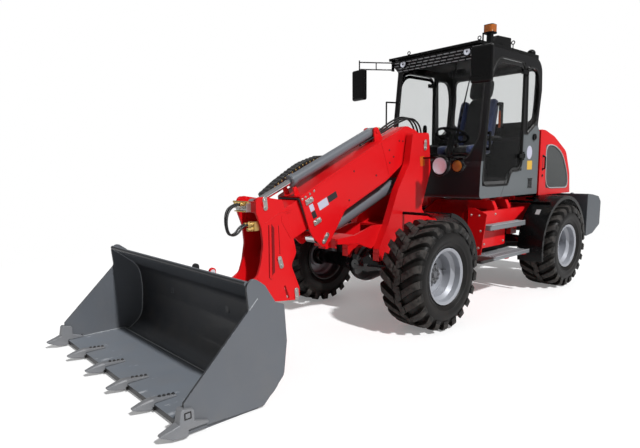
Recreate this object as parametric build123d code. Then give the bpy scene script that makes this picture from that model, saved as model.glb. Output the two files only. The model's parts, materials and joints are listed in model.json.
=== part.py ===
from build123d import *
from math import asin, atan2, cos, degrees, hypot, radians, sin, sqrt, tan
import os

# Articulated wheel loader with a telescopic boom and a toothed bucket.
# Millimetres. +X is forward, +Y is the machine's left, +Z is up and the ground is Z = 0.
# Front pieces are worked out with the front axle over X = 0 and rear pieces with the rear axle
# there. The rear ones are then moved back by the wheelbase, and the whole machine is moved so
# that the origin lies on the ground under the middle of its overall box.

# ---------------------------------------------------------------- driving dimensions: chassis
WHEELBASE = 2430.0
TRACK = 1490.0                 # between tyre centres
TYRE_DIAMETER = 950.0          # over the tread
TYRE_WIDTH = 396.0
TYRE_WALL = 26.0
BEAD_RADIUS = 229.0            # 18 inch rim seat
RIM_FLANGE = 17.0              # height of the flange over the seat
RIM_WIDTH = 340.0              # over the flanges
RIM_METAL = 10.0
HUB_RADIUS = 80.0
HUB_FACE = 40.0                # drum face, outward from the tyre centre
SPINDLE_RADIUS = 45.0
SPINDLE_FIT = 0.05             # running clearance, on the radius
DIFF_RADIUS = 178.0
PIVOT_PIN_RADIUS = 32.0
STEP_TREAD = 250.0             # depth of the lower tread
STEP_OUTSIDE = 760.0           # half width over the lower tread
STEP_LEVEL = 482.0             # top of the lower tread
STEP_SHEET = 30.0
UPPER_STEP_OUTSIDE = 688.0
UPPER_STEP_LEVEL = 795.0
UPPER_STEP_SHEET = 45.0
STEP_PLATE_FRONT = 1330.0      # plate across the front of the steps, ahead of the rear axle
CARRIER_SHEET = 14.0
FENDER_OUTSIDE = 885.0
SKIRT_OUTSIDE = 600.0          # side skirts under the cab
REAR_FENDER_RADIUS = 577.0
REAR_FENDER_INSIDE = 606.0
FRONT_FENDER_INSIDE = 600.0
FRONT_FENDER_RADIUS = 545.0
FENDER_SKIN = 12.0
FENDER_BAR = 14.0              # radius of the bars that carry it
RAIL_INSIDE = 240.0            # rear frame's side rails
RAIL_OUTSIDE = 264.0
TOWER_ROOM = 15.0              # beside the boom, between the tower's cheeks
TOWER_CHEEK = 75.0             # thickness of a cheek box
NOSE_SHEET = 26.0
FRAME_TAIL = 285.0             # front frame's rear face, ahead of the articulation pin
SEAT_GAP = 0.3                 # between curved faces that seat on each other

# ---------------------------------------------------------------- driving dimensions: boom
BOOM_PIVOT = (-592.0, 1650.0)  # X and Z
BOOM_END_HEIGHT = 926.0        # middle of the inner boom's front end, above the ground
BOOM_REACH = 1817.0            # from the pivot to the inner boom's front end
OUTER_BOOM_TOP = 214.0
OUTER_BOOM_BOTTOM = -148.0
OUTER_BOOM_WALL = 14.0
OUTER_BOOM_LENGTH = 1650.0
INNER_BOOM_HALF_WIDTH = 115.0
INNER_BOOM_TOP = 168.0
INNER_BOOM_BOTTOM = -104.0
INNER_BOOM_WALL = 12.0
WEAR_PAD_ROOM = 21.0           # between the inner boom and the outer one
INNER_BOOM_TAIL = 470.0        # how far its hidden rear end is from the boom pivot
HEAD_PLATE = 22.0              # welded outside the inner boom
SLIDE_GAP = 0.5                # wear pad to inner boom

# ---------------------------------------------------------------- driving dimensions: linkage
TILT_ARM = 260.0               # coupler pivot to link pin, and bellcrank pivot to link pin
TILT_ARM_LEAN = -92.6          # its direction, degrees from +X towards +Z
BELLCRANK_TOP_ARM = 200.0
BELLCRANK_TOP_LEAN = 102.5
LINK_BAR = 20.0
LINK_DEPTH = 54.0
TILT_BASE_ALONG = 1100.0       # tilt cylinder's base pin, along the boom from its pivot
TILT_BASE_ABOVE = 30.0
EXTENSION_ABOVE = 300.0        # telescope cylinder's line above the boom's
EXTENSION_BASE_ALONG = 439.0
EXTENSION_EYE_ALONG = 1977.0
LIFT_EAR_ALONG = 1525.0        # lift cylinder's upper pin, on the fixed boom's ears
LIFT_EAR_ABOVE = -263.0

# ---------------------------------------------------------------- driving dimensions: bucket
BUCKET_WIDTH = 2020.0
BUCKET_SHEET = 14.0
BUCKET_SIDE_SHEET = 16.0
BUCKET_REACH = 1080.0          # corner tooth tips ahead of the coupler pivot
CUTTING_EDGE = 922.0           # front of the edge plate, ahead of the coupler pivot
CUTTING_EDGE_SHEET = 20.0
TOOTH_COUNT = 6
TOOTH_WIDTH = 64.0
TOOTH_SETBACK = 33.0           # how far the inner teeth stand behind the corner teeth
CORNER_TOOTH_OUT = 24.0        # corner tooth's outer face, outside the side plate

# ---------------------------------------------------------------- driving dimensions: cab and rear
CAB_HALF_WIDTH = 590.0
CAB_SKIN = 30.0
GLASS = 6.0
GLASS_FIT = 0.3                # bonded panes to their openings
CAB_FLOOR = 1075.0
CAB_ROOF = 2640.0
CAB_REAR = 130.0               # ahead of the rear axle
DOOR_GAP = 6.0
HOOD_HALF_WIDTH = 600.0
HOOD_SKIN = 22.0
HOOD_HINGE = (100.0, 1836.0)   # X and Z
HOOD_HINGE_OUT = 320.0         # from the middle plane
VISOR_FRONT = 1430.0
VISOR_REAR = 1190.0
VISOR_LEVELS = (2592.0, 2620.0)
VISOR_SLOTS = 12               # in each row
LAMP_BAR = 1346.0              # rear face of the bar that carries the front work lamps
MIRROR_AT = (1710.0, 760.0, 2330.0)
MIRROR_SIZE = (60.0, 205.0, 335.0)
MIRROR_TURN = 6.0
MIRROR_TUBE = 7.0              # radius
GRAB_TUBE = 9.0
COUNTERWEIGHT_REAR = -1045.0
COUNTERWEIGHT_HALF_WIDTH = 880.0
TOW_PIN_AHEAD = 110.0          # towing pin, from the counterweight's rear face
TOW_BORE_RADIUS = 16.0
TOW_BORE_FLOOR = 650.0
TOW_SLOT_LEVELS = (700.0, 780.0)
NIPPLE_RADIUS = 12.25          # hydraulic quick couplings
NIPPLE_REACH = 40.0

# ---------------------------------------------------------------- worked out from the above
HUB_HEIGHT = TYRE_DIAMETER / 2
PIVOT_X = -WHEELBASE / 2           # articulation pin, from the front axle
PIVOT_AHEAD = WHEELBASE / 2        # and from the rear axle
RIM_FLANGE_RADIUS = BEAD_RADIUS + RIM_FLANGE
OUTER_BOOM_HALF_WIDTH = INNER_BOOM_HALF_WIDTH + WEAR_PAD_ROOM + OUTER_BOOM_WALL
TOWER_INSIDE = OUTER_BOOM_HALF_WIDTH + TOWER_ROOM
TOWER_OUTSIDE = TOWER_INSIDE + TOWER_CHEEK
FRAME_TAIL_X = PIVOT_X + FRAME_TAIL
BOOM_SLOPE = degrees(asin((BOOM_PIVOT[1] - BOOM_END_HEIGHT) / BOOM_REACH))
BOOM_FRAME = Pos(BOOM_PIVOT[0], 0, BOOM_PIVOT[1]) * Rot(0, BOOM_SLOPE, 0)


def boom_point(along, above):
    """X and Z of a point given along the boom from its pivot and square above its centre line."""
    lean = radians(BOOM_SLOPE)
    return (BOOM_PIVOT[0] + along * cos(lean) + above * sin(lean),
            BOOM_PIVOT[1] - along * sin(lean) + above * cos(lean))


HEAD = boom_point(BOOM_REACH, 0)   # middle of the inner boom's front end


def head_point(ahead, above):
    """X and Z of a point given from the inner boom's front end."""
    return (HEAD[0] + ahead, HEAD[1] + above)


def polar(centre, length, lean):
    """The point that lies a length away from a centre, at a lean in degrees from +X to +Z."""
    return (centre[0] + length * cos(radians(lean)), centre[1] + length * sin(radians(lean)))


BELLCRANK_PIVOT = head_point(125, -230)
COUPLER_PIVOT = head_point(546, -526)
BELLCRANK_LOW_PIN = polar(BELLCRANK_PIVOT, TILT_ARM, TILT_ARM_LEAN)
COUPLER_LINK_PIN = polar(COUPLER_PIVOT, TILT_ARM, TILT_ARM_LEAN)
BELLCRANK_TOP_PIN = polar(BELLCRANK_PIVOT, BELLCRANK_TOP_ARM, BELLCRANK_TOP_LEAN)
TOOTH_REACH = COUPLER_PIVOT[0] + BUCKET_REACH
FRONT_AXLE_X = (WHEELBASE - TOOTH_REACH - COUNTERWEIGHT_REAR) / 2
TILT_BASE = boom_point(TILT_BASE_ALONG, TILT_BASE_ABOVE)
LIFT_BASE = (BOOM_PIVOT[0] + 192, BOOM_PIVOT[1] - 400)
LIFT_EYE = boom_point(LIFT_EAR_ALONG, LIFT_EAR_ABOVE)


# ---------------------------------------------------------------- helpers
def turn_area(corners):
    """Twice the area inside the corners: above zero where they run counter-clockwise."""
    return sum(corners[i - 1][0] * corners[i][1] - corners[i][0] * corners[i - 1][1]
               for i in range(len(corners)))


def rounded_face(corners):
    """A flat face from corners (x, y, radius), each corner rounded by its own radius.

    The corners may run either way round, and no rounding takes more than half of an edge.
    """
    count = len(corners)
    if turn_area(corners) < 0:
        corners = corners[::-1]
    turns = []
    for i, (x, y, radius) in enumerate(corners):
        here = Vector(x, y)
        back = Vector(*corners[i - 1][:2]) - here
        on = Vector(*corners[(i + 1) % count][:2]) - here
        if radius == 0:
            turns.append((here, None, here))
            continue
        half = radians(back.get_angle(on)) / 2
        set_back = min(radius / tan(half), 0.49 * min(back.length, on.length))
        radius = set_back * tan(half)
        back, on = back.normalized(), on.normalized()
        middle = here + (back + on).normalized() * (radius / sin(half) - radius)
        turns.append((here + back * set_back, middle, here + on * set_back))
    edges = []
    for i, (enter, middle, leave) in enumerate(turns):
        if middle is not None:
            edges.append(ThreePointArc(enter, middle, leave))
        ahead = turns[(i + 1) % count][0]
        if (ahead - leave).length > 1e-6:
            edges.append(Line(leave, ahead))
    return Face(Wire(edges))


def side_plate(corners, y_low, y_high):
    """A plate between two widths: its outline is corners (x, z, radius)."""
    face = Plane.XZ.offset(-y_high) * rounded_face(corners)
    return extrude(face, y_high - y_low)


def floor_plate(corners, z_low, z_high):
    """A level plate: its outline is corners (x, y, radius)."""
    return extrude(Plane.XY.offset(z_low) * rounded_face(corners), z_high - z_low)


def cross_plate(corners, x_low, x_high):
    """A plate across the machine: its outline is corners (y, z, radius)."""
    return extrude(Plane.YZ.offset(x_low) * rounded_face(corners), x_high - x_low)


def block(x, y, z):
    """A box between low and high values on each axis."""
    return Pos((x[0] + x[1]) / 2, (y[0] + y[1]) / 2, (z[0] + z[1]) / 2) * Box(
        x[1] - x[0], y[1] - y[0], z[1] - z[0])


def cross_pin(at, radius, y_low, y_high):
    """A round bar across the machine at X and Z."""
    return Pos(at[0], (y_low + y_high) / 2, at[1]) * Rot(90, 0, 0) * Cylinder(radius, y_high - y_low)


def group(shapes):
    """Several solids as one node."""
    return Compound([solid for shape in shapes for solid in shape.solids()])


def mirrored(shape):
    """The same piece on the machine's other side."""
    return mirror(shape, about=Plane.XZ)


def both_sides(shape):
    """A piece and its mirror image, fused."""
    return shape + mirrored(shape)


def pair(shape):
    """A piece and its mirror image, as two solids of one node."""
    return group([shape, mirrored(shape)])


def turned(profile, at, about="Y"):
    """A round piece: profile is corners (radius, along) carried round an axis through a point."""
    face = Face(Wire.make_polygon([Vector(r, a) for r, a in profile], close=True))
    solid = revolve(face, Axis.Y, 360)          # along is Y
    if about == "X":
        solid = Rot(0, 0, -90) * solid
    if about == "Z":
        solid = Rot(90, 0, 0) * solid
    return Pos(*at) * solid


def rod(start, end, radius):
    """A round bar between two points."""
    start, end = Vector(*start), Vector(*end)
    run = end - start
    return Plane(origin=start, z_dir=run) * Pos(0, 0, run.length / 2) * Cylinder(radius, run.length)


def inset(corners, depths):
    """Corners moved inward: edge i, from corner i to the next, moves by depths[i].

    A negative depth moves an edge outward, and each radius shrinks with the walls that
    meet at it.
    """
    count = len(corners)
    way = -1 if turn_area(corners) > 0 else 1        # the inside is on the left or on the right
    lines = []
    for i, (x, y, _) in enumerate(corners):
        ahead_x, ahead_y, _ = corners[(i + 1) % count]
        run = hypot(ahead_x - x, ahead_y - y)
        along = ((ahead_x - x) / run, (ahead_y - y) / run)
        inward = (along[1] * way, -along[0] * way)
        lines.append(((x + inward[0] * depths[i], y + inward[1] * depths[i]), along))
    moved = []
    for i, (_, _, radius) in enumerate(corners):
        (ax, ay), (adx, ady) = lines[i - 1]
        (bx, by), (bdx, bdy) = lines[i]
        cross = adx * bdy - ady * bdx
        reach = ((bx - ax) * bdy - (by - ay) * bdx) / cross
        shrink = max(depths[i - 1], depths[i])
        keep = max(radius - shrink, 2.0) if radius else 0
        moved.append((ax + adx * reach, ay + ady * reach, keep))
    return moved


def shifted(corners, ahead, above):
    """The same corners moved as one."""
    return [(x + ahead, y + above, radius) for x, y, radius in corners]


# ---------------------------------------------------------------- wheels and axles
def tyre():
    """A tubeless tyre as an open ring: thick tread, bulged sidewalls and two beads."""
    crown, half = TYRE_DIAMETER / 2, TYRE_WIDTH / 2
    seat, bead = BEAD_RADIUS + 0.3, RIM_WIDTH / 2 - 14.5
    outside = [(seat, bead), (RIM_FLANGE_RADIUS + 4, bead + 2), (RIM_FLANGE_RADIUS + 22, half - 14),
               (seat + 108, half), (crown - 70, half - 6), (crown - 22, half - 26), (crown, half - 80)]
    inside = [(crown - TYRE_WALL, half - 80), (crown - TYRE_WALL - 24, half - TYRE_WALL - 22),
              (seat + 108, half - TYRE_WALL), (seat + 40, half - TYRE_WALL - 18), (seat, bead - 24)]
    ring = outside + [(r, -y) for r, y in reversed(outside)]
    ring += [(r, -y) for r, y in reversed(inside)] + inside
    return turned(ring, (0, 0, 0))


def rim():
    """A drop-centre rim, its flat disc, and the hub drum of the final drive."""
    edge, seat, well = RIM_WIDTH / 2, BEAD_RADIUS, BEAD_RADIUS - 32
    outside = [(RIM_FLANGE_RADIUS, edge), (RIM_FLANGE_RADIUS, edge - 9), (seat, edge - 14),
               (seat, edge - 58), (well, edge - 84), (well, -edge + 92), (seat, -edge + 58),
               (seat, -edge + 14), (RIM_FLANGE_RADIUS, -edge + 9), (RIM_FLANGE_RADIUS, -edge)]
    inside = [(RIM_FLANGE_RADIUS - 9, -edge), (seat - RIM_METAL, -edge + 10),
              (seat - RIM_METAL, -edge + 62), (well - RIM_METAL, -edge + 96),
              (well - RIM_METAL, edge - 88), (seat - RIM_METAL, edge - 62),
              (seat - RIM_METAL, edge - 10), (RIM_FLANGE_RADIUS - 9, edge)]
    barrel = turned(outside + inside, (0, 0, 0))
    disc = turned([(well - 5, 2), (well - 34, 10), (HUB_RADIUS + 40, 10), (HUB_RADIUS - 4, 2),
                   (HUB_RADIUS - 4, -14), (HUB_RADIUS + 40, -6), (well - 34, -6), (well - 5, -14)],
                  (0, 0, 0))
    drum = turned([(0, -50), (HUB_RADIUS + 30, -50), (HUB_RADIUS + 30, -30), (HUB_RADIUS, -30),
                   (HUB_RADIUS, HUB_FACE - 6), (HUB_RADIUS - 6, HUB_FACE), (34, HUB_FACE),
                   (30, HUB_FACE + 8), (0, HUB_FACE + 8)], (0, 0, 0))
    bore = cross_pin((0, 0), SPINDLE_RADIUS + SPINDLE_FIT, -60, 12)
    return barrel + disc + drum - bore


ARM_END = TRACK / 2 - 58               # where the arm's flange ends and the spindle begins
SPINDLE_END = TRACK / 2 + 8
AXLE_ARM = [(128, 120), (82, 210), (66, 420), (72, ARM_END - 70), (96, ARM_END - 34), (96, ARM_END),
            (SPINDLE_RADIUS, ARM_END), (SPINDLE_RADIUS, SPINDLE_END), (0, SPINDLE_END)]   # radius, along


def axle(cover_ahead):
    """A rigid drive axle: a bulged differential, tapered arms and a spindle at each end."""
    right = [(radius, -along) for radius, along in reversed(AXLE_ARM)]
    arms = turned(right + AXLE_ARM, (0, 0, HUB_HEIGHT))
    bulb = turned([(0, -205), (56, -205), (56, -160), (112, -148), (DIFF_RADIUS - 16, -86),
                   (DIFF_RADIUS, -16), (DIFF_RADIUS, 44), (DIFF_RADIUS - 22, 98), (96, 148),
                   (48, 166), (0, 168)], (0, 0, 0), "X")
    turn = 0 if cover_ahead else 180
    return arms + Pos(0, 0, HUB_HEIGHT + 12) * Rot(0, 0, turn) * bulb


def fender(radius, low, high, inner, outer, bars, bar_root):
    """A curved wheel guard: an arc of sheet with a turned-down outer edge and bars to the frame."""
    skin = FENDER_SKIN
    mid = (low + high) / 2

    def band(r_in, r_out, y_low, y_high):
        edge = []
        out = [polar((0, HUB_HEIGHT), r_out, a) for a in (low, mid, high)]
        back = [polar((0, HUB_HEIGHT), r_in, a) for a in (high, mid, low)]
        edge.append(ThreePointArc(*[Vector(*p) for p in out]))
        edge.append(Line(Vector(*out[-1]), Vector(*back[0])))
        edge.append(ThreePointArc(*[Vector(*p) for p in back]))
        edge.append(Line(Vector(*back[-1]), Vector(*out[0])))
        return extrude(Plane.XZ.offset(-y_high) * Face(Wire(edge)), y_high - y_low)

    guard = band(radius - skin, radius, inner, outer) + band(radius - 40, radius, outer - skin, outer)
    for angle in bars:
        guard += cross_pin(polar((0, HUB_HEIGHT), radius + FENDER_BAR - 2, angle), FENDER_BAR, bar_root,
                           outer - 60)
    return guard


# ---------------------------------------------------------------- front frame
def hinge_lug(pin_x, root_x, z_low, z_high, half_root):
    """A level lug that reaches from the frame to the articulation pin and ends round."""
    tip = 96.0
    way = 1 if root_x > pin_x else -1
    arm = block(sorted((pin_x, root_x)), (-tip, tip), (z_low, z_high))
    root = block(sorted((root_x, root_x - way * 60)), (-half_root, half_root), (z_low, z_high))
    end = Pos(pin_x, 0, (z_low + z_high) / 2) * Cylinder(tip, z_high - z_low)
    return arm + root + end


LUG_LEVELS = ((820.0, 850.0), (450.0, 480.0))      # front frame's lugs
LUG_GAP = 6.0
LUG_DEPTH = 34.0                                   # rear frame's lugs, between the front frame's


def front_frame():
    """Boom tower, chassis box, nose over the axle and the front half of the articulation."""
    x, z = BOOM_PIVOT
    tail = FRAME_TAIL_X
    cheek = [(-397, z + 83, 30), (-345, 1440, 120), (-177, 1192, 60), (-34, 868, 60), (95, 650, 20),
             (95, 604, 10), (-215, 604, 40), (-340, 430, 40), (tail, 430, 20), (tail, 862, 20),
             (-720, 872, 60), (-545, 985, 60), (-692, 1370, 120), (-656, z + 91, 30)]
    cheeks = both_sides(side_plate(cheek, TOWER_INSIDE, TOWER_OUTSIDE))
    sheet = TOWER_INSIDE - NOSE_SHEET
    nose = [(565, 738, 12), (565, 786, 30), (330, 800, 60), (90, 868, 40), (-60, 868, 0),
            (-60, 700, 30), (-190, 640, 0), (-150, 560, 0), (230, 690, 60), (300, 720, 20)]
    nose = both_sides(side_plate(nose, sheet, TOWER_INSIDE))
    nose -= cross_pin((0, HUB_HEIGHT + 12), DIFF_RADIUS + 24, -TOWER_INSIDE, TOWER_INSIDE)
    top = side_plate([(330, 786, 0), (330, 800, 0), (565, 786, 0), (565, 772, 0)], -sheet, sheet)
    front = block((551, 565), (-sheet, sheet), (700, 780)) + block((560, 600), (-45, 45), (690, 750))
    web = block((-640, -620), (-TOWER_INSIDE, TOWER_INSIDE), (862, 1440))
    deck = block((tail, -60), (-TOWER_INSIDE, TOWER_INSIDE), (842, 862))
    belly = block((tail, -340), (-TOWER_INSIDE, TOWER_INSIDE), (430, 450))
    bulkhead = block((-350, -330), (-TOWER_INSIDE, TOWER_INSIDE), (450, 842))
    saddle = both_sides(block((-95, 95), (TOWER_INSIDE, TOWER_OUTSIDE), (HUB_HEIGHT + 60, 604)))
    end = block((tail - 14, tail), (-TOWER_OUTSIDE, TOWER_OUTSIDE), (430, 862))
    frame = cheeks + nose + top + front + web + deck + belly + bulkhead + saddle + end
    for low, high in LUG_LEVELS:
        frame += hinge_lug(PIVOT_X, tail, low, high, TOWER_INSIDE)
    frame -= axle_clearance()
    pin = Pos(PIVOT_X, 0, 650) * Cylinder(PIVOT_PIN_RADIUS, 460)
    lift_pin = cross_pin(LIFT_BASE, 28, -TOWER_INSIDE, TOWER_INSIDE)
    boom_pin = cross_pin(BOOM_PIVOT, 30, -TOWER_OUTSIDE - 8, TOWER_OUTSIDE + 8)
    return frame + pin + lift_pin + boom_pin


def axle_clearance():
    """The seat that a frame's saddles leave for the axle's arms."""
    arm = [(radius + SEAT_GAP, along) for radius, along in AXLE_ARM[:4]]
    right = [(radius, -along) for radius, along in reversed(arm)]
    return turned([(0, right[0][1])] + right + arm + [(0, arm[-1][1])], (0, 0, HUB_HEIGHT))


def headlamps():
    """Round lamps with their side indicators on brackets from the tower."""
    lamp = turned([(0, -50), (64, -50), (94, 10), (96, 34), (90, 40), (0, 46)], (-500, 510, 1412), "X")
    marker = turned([(0, -22), (54, -22), (66, 16), (66, 30), (44, 46), (0, 50)], (-690, 573, 1409), "X")
    arm = block((-660, -560), (TOWER_OUTSIDE, 470), (1486, 1500))
    arm += block((-716, -540), (470, 612), (1486, 1500))
    arm += block((-560, -545), (460, 560), (1420, 1500)) + block((-716, -706), (550, 598), (1440, 1500))
    return pair(lamp + marker + arm)


# ---------------------------------------------------------------- boom, head and cylinders
OUTER_SIDE = [(620, OUTER_BOOM_TOP + 10, 0), (97, OUTER_BOOM_TOP - 3, 60), (-20, 116, 60), (-84, 20, 40),
              (-84, -50, 40), (40, -96, 60), (320, -106, 120), (592, OUTER_BOOM_BOTTOM, 0),
              (1206, OUTER_BOOM_BOTTOM - 2, 60), (LIFT_EAR_ALONG - 62, LIFT_EAR_ABOVE - 42, 40),
              (LIFT_EAR_ALONG + 46, LIFT_EAR_ABOVE - 68, 40), (OUTER_BOOM_LENGTH - 8, -178, 30),
              (OUTER_BOOM_LENGTH, -114, 0), (OUTER_BOOM_LENGTH - 20, 196, 20)]


def outer_boom():
    """The fixed boom: a tapered plate box, its ears for the lift cylinder and the pivot tube."""
    half, wall = OUTER_BOOM_HALF_WIDTH, OUTER_BOOM_WALL
    sides = both_sides(side_plate(OUTER_SIDE, half - wall, half))
    roof = side_plate([(60, 176, 0), (97, OUTER_BOOM_TOP - 3, 20), (620, OUTER_BOOM_TOP + 10, 0),
                       (OUTER_BOOM_LENGTH - 24, 194, 0), (OUTER_BOOM_LENGTH - 24, 194 - wall, 0),
                       (620, OUTER_BOOM_TOP + 10 - wall, 0), (100, OUTER_BOOM_TOP - 17, 0)],
                      -half + wall, half - wall)
    floor = side_plate([(320, -106, 0), (320, -106 + wall, 0), (592, OUTER_BOOM_BOTTOM + wall, 0),
                        (OUTER_BOOM_LENGTH - 30, -124 + wall, 0), (OUTER_BOOM_LENGTH - 30, -124, 0),
                        (1206, OUTER_BOOM_BOTTOM, 0), (592, OUTER_BOOM_BOTTOM, 0)],
                       -half + wall, half - wall)
    tube = cross_pin((0, 0), 74, -half, half) - cross_pin((0, 0), 30.05, -half - 1, half + 1)
    pads = both_sides(block((OUTER_BOOM_LENGTH - 110, OUTER_BOOM_LENGTH - 26),
                            (INNER_BOOM_HALF_WIDTH + SLIDE_GAP, half - wall), (-80, 150)))
    pads += block((OUTER_BOOM_LENGTH - 110, OUTER_BOOM_LENGTH - 26), (-90, 90),
                  (INNER_BOOM_TOP + SLIDE_GAP, 184))
    pads += block((OUTER_BOOM_LENGTH - 110, OUTER_BOOM_LENGTH - 30), (-90, 90),
                  (-122, INNER_BOOM_BOTTOM - SLIDE_GAP))
    ear_pins = both_sides(cross_pin((LIFT_EAR_ALONG, LIFT_EAR_ABOVE), 28, 62, half + 8))
    horn = both_sides(side_plate([(390, 200, 0), (420, EXTENSION_ABOVE + 38, 24),
                                  (470, EXTENSION_ABOVE + 38, 24), (520, 200, 0)], 50, 68))
    horn_pin = cross_pin((EXTENSION_BASE_ALONG, EXTENSION_ABOVE), 20, -76, 76)
    collar = both_sides(side_plate([(OUTER_BOOM_LENGTH - 90, 180, 0), (OUTER_BOOM_LENGTH - 80, 262, 14),
                                    (OUTER_BOOM_LENGTH - 44, 262, 14), (OUTER_BOOM_LENGTH - 30, 180, 0)],
                                   58, 72))
    boom = sides + roof + floor + pads + collar
    boom = boom - cross_pin((0, 0), 60, -half - 1, half + 1) + tube + ear_pins + horn + horn_pin
    return BOOM_FRAME * boom


def extension_barrel():
    """The telescope cylinder's barrel, lying along the top of the boom."""
    start, end = EXTENSION_BASE_ALONG, OUTER_BOOM_LENGTH - 86
    tube = turned([(27, start + 60), (46, start + 60), (46, end - 50), (54, end - 48), (54, end),
                   (27, end)], (0, 0, 0), "X")
    cap = turned([(0, start + 26), (40, start + 26), (46, start + 60), (0, start + 60)], (0, 0, 0), "X")
    eye = cross_pin((start, 0), 34, -49, 49) - cross_pin((start, 0), 20.05, -50, 50)
    return BOOM_FRAME * Pos(0, 0, EXTENSION_ABOVE) * (tube + cap + eye)


def extension_rod():
    """The telescope cylinder's rod, from inside its barrel to the head's top lugs."""
    eye = EXTENSION_EYE_ALONG
    rod = turned([(0, 760), (26, 760), (26, eye - 40), (0, eye - 40)], (0, 0, 0), "X")
    ring = cross_pin((eye, 0), 40, -30, 30) + block((eye - 46, eye), (-24, 24), (-24, 24))
    ring -= cross_pin((eye, 0), 22.05, -31, 31)
    return BOOM_FRAME * Pos(0, 0, EXTENSION_ABOVE) * (rod + ring)


CHAIN_FRONT = BOOM_REACH - 27                 # cable chain's front end, along the boom
CHAIN_SEAT = 256.0                            # and above its centre line
HEAD_SIDE = [(82, 236, 20), (262, 268, 30), (322, 268, 40), (344, 236, 30), (344, 150, 60), (298, 30, 160),
             (283, -110, 160), (310, -250, 120), (346, -350, 60), (520, -452, 40), (602, -486, 50),
             (602, -566, 50), (500, -596, 60), (218, -578, 0), (-36, -608, 28), (-84, -592, 24),
             (-84, -510, 60), (2, -306, 60), (-56, -206, 60), (-30, -92, 0)]


def inner_boom():
    """The telescoping boom: a hollow box with the head plates welded to its front end."""
    half, wall = INNER_BOOM_HALF_WIDTH, INNER_BOOM_WALL
    tail, front = INNER_BOOM_TAIL, BOOM_REACH
    box = block((tail, front), (-half, half), (INNER_BOOM_BOTTOM, INNER_BOOM_TOP))
    box -= block((tail - 1, front + 1), (-half + wall, half - wall),
                 (INNER_BOOM_BOTTOM + wall, INNER_BOOM_TOP - wall))
    pad_reach = OUTER_BOOM_HALF_WIDTH - OUTER_BOOM_WALL - SLIDE_GAP
    box += both_sides(block((tail, tail + 90), (half, pad_reach), (-60, 130)))
    box += block((tail, tail + 90), (-90, 90), (INNER_BOOM_TOP, INNER_BOOM_TOP + 14))
    box -= block((front - 190, front + 1), (-60, 60),                   # notch for the lever
                 (INNER_BOOM_BOTTOM - 1, INNER_BOOM_BOTTOM + wall + 1))
    deck = block((front - 30, front + 190), (-half, half), (232, 246))
    chin = block((front - 30, front - 16), (-half, half), (INNER_BOOM_TOP, 232))
    shelf = block((CHAIN_FRONT - 40, CHAIN_FRONT + 4), (-172, -half + 15), (232, CHAIN_SEAT - SEAT_GAP))
    box = BOOM_FRAME * (box + deck + chin + shelf)
    x, z = HEAD
    box += block((x + 330, x + 344), (-half, half), (z + 150, z + 236))
    plates = side_plate(shifted(HEAD_SIDE, *HEAD), half, half + HEAD_PLATE)
    slot = shifted([(72, -462, 10), (84, -470, 10), (52, -582, 10), (24, -582, 10)], *HEAD)
    plates = both_sides(plates - side_plate(slot, half - 1, half + HEAD_PLATE + 1))
    pins = cross_pin(BELLCRANK_PIVOT, 28, -half - HEAD_PLATE - 8, half + HEAD_PLATE + 8)
    pins += BOOM_FRAME * cross_pin((EXTENSION_EYE_ALONG, EXTENSION_ABOVE), 22, -half - HEAD_PLATE - 8,
                                   half + HEAD_PLATE + 8)
    pins += cross_pin(head_point(-46, -568), 24, -half - HEAD_PLATE - 6, half + HEAD_PLATE + 6)
    bosses = both_sides(cross_pin(COUPLER_PIVOT, 62, half, half + HEAD_PLATE))
    eyes = cross_pin(COUPLER_PIVOT, 30.05, -half - HEAD_PLATE - 1, half + HEAD_PLATE + 1)
    return box + plates + pins + bosses - eyes


def bellcrank():
    """Two lever plates on a hub tube: tilt rod at the top, link bars at the bottom."""
    x, z = BELLCRANK_PIVOT
    lever = [(*BELLCRANK_TOP_PIN, 42), (x, z, 62), (*BELLCRANK_LOW_PIN, 42)]
    sides = None
    for (ax, az, ar), (bx, bz, br) in ((lever[0], lever[1]), (lever[1], lever[2])):
        web = tapered_bar((ax, az), ar, (bx, bz), br, 30, 50)
        sides = web if sides is None else sides + web
    sides = both_sides(sides)
    hub = cross_pin((x, z), 50, -50, 50) - cross_pin((x, z), 28.05, -51, 51)
    sides -= cross_pin((x, z), 28.05, -51, 51)
    stubs = both_sides(cross_pin(BELLCRANK_TOP_PIN, 24, 27, 58))
    low_pin = cross_pin(BELLCRANK_LOW_PIN, 24, -84, 84)
    return sides + hub + stubs + low_pin


def tapered_bar(a, radius_a, b, radius_b, y_low, y_high):
    """A flat bar with round ends of two sizes, tangent sides, between two points in X and Z."""
    run = hypot(b[0] - a[0], b[1] - a[1])
    lean = atan2(b[1] - a[1], b[0] - a[0])
    swell = (radius_a - radius_b) / run
    turn = atan2(sqrt(1 - swell * swell), swell)
    corners = []
    for centre, radius in ((a, radius_a), (b, radius_b)):
        corners.append([(centre[0] + radius * cos(lean + side * turn),
                         centre[1] + radius * sin(lean + side * turn)) for side in (1, -1)])
    outline = [(*point, 0) for point in (corners[0][0], corners[1][0], corners[1][1], corners[0][1])]
    middle = side_plate(outline, y_low, y_high)
    return middle + cross_pin(a, radius_a, y_low, y_high) + cross_pin(b, radius_b, y_low, y_high)


def tilt_link():
    """A pair of link bars from the bellcrank to the quick coupler."""
    bar = tapered_bar(BELLCRANK_LOW_PIN, 42, COUPLER_LINK_PIN, 42, 56, 56 + LINK_BAR)
    for at in (BELLCRANK_LOW_PIN, COUPLER_LINK_PIN):
        bar -= cross_pin(at, 24.05, 55, 57 + LINK_BAR)
    return pair(bar)


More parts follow.
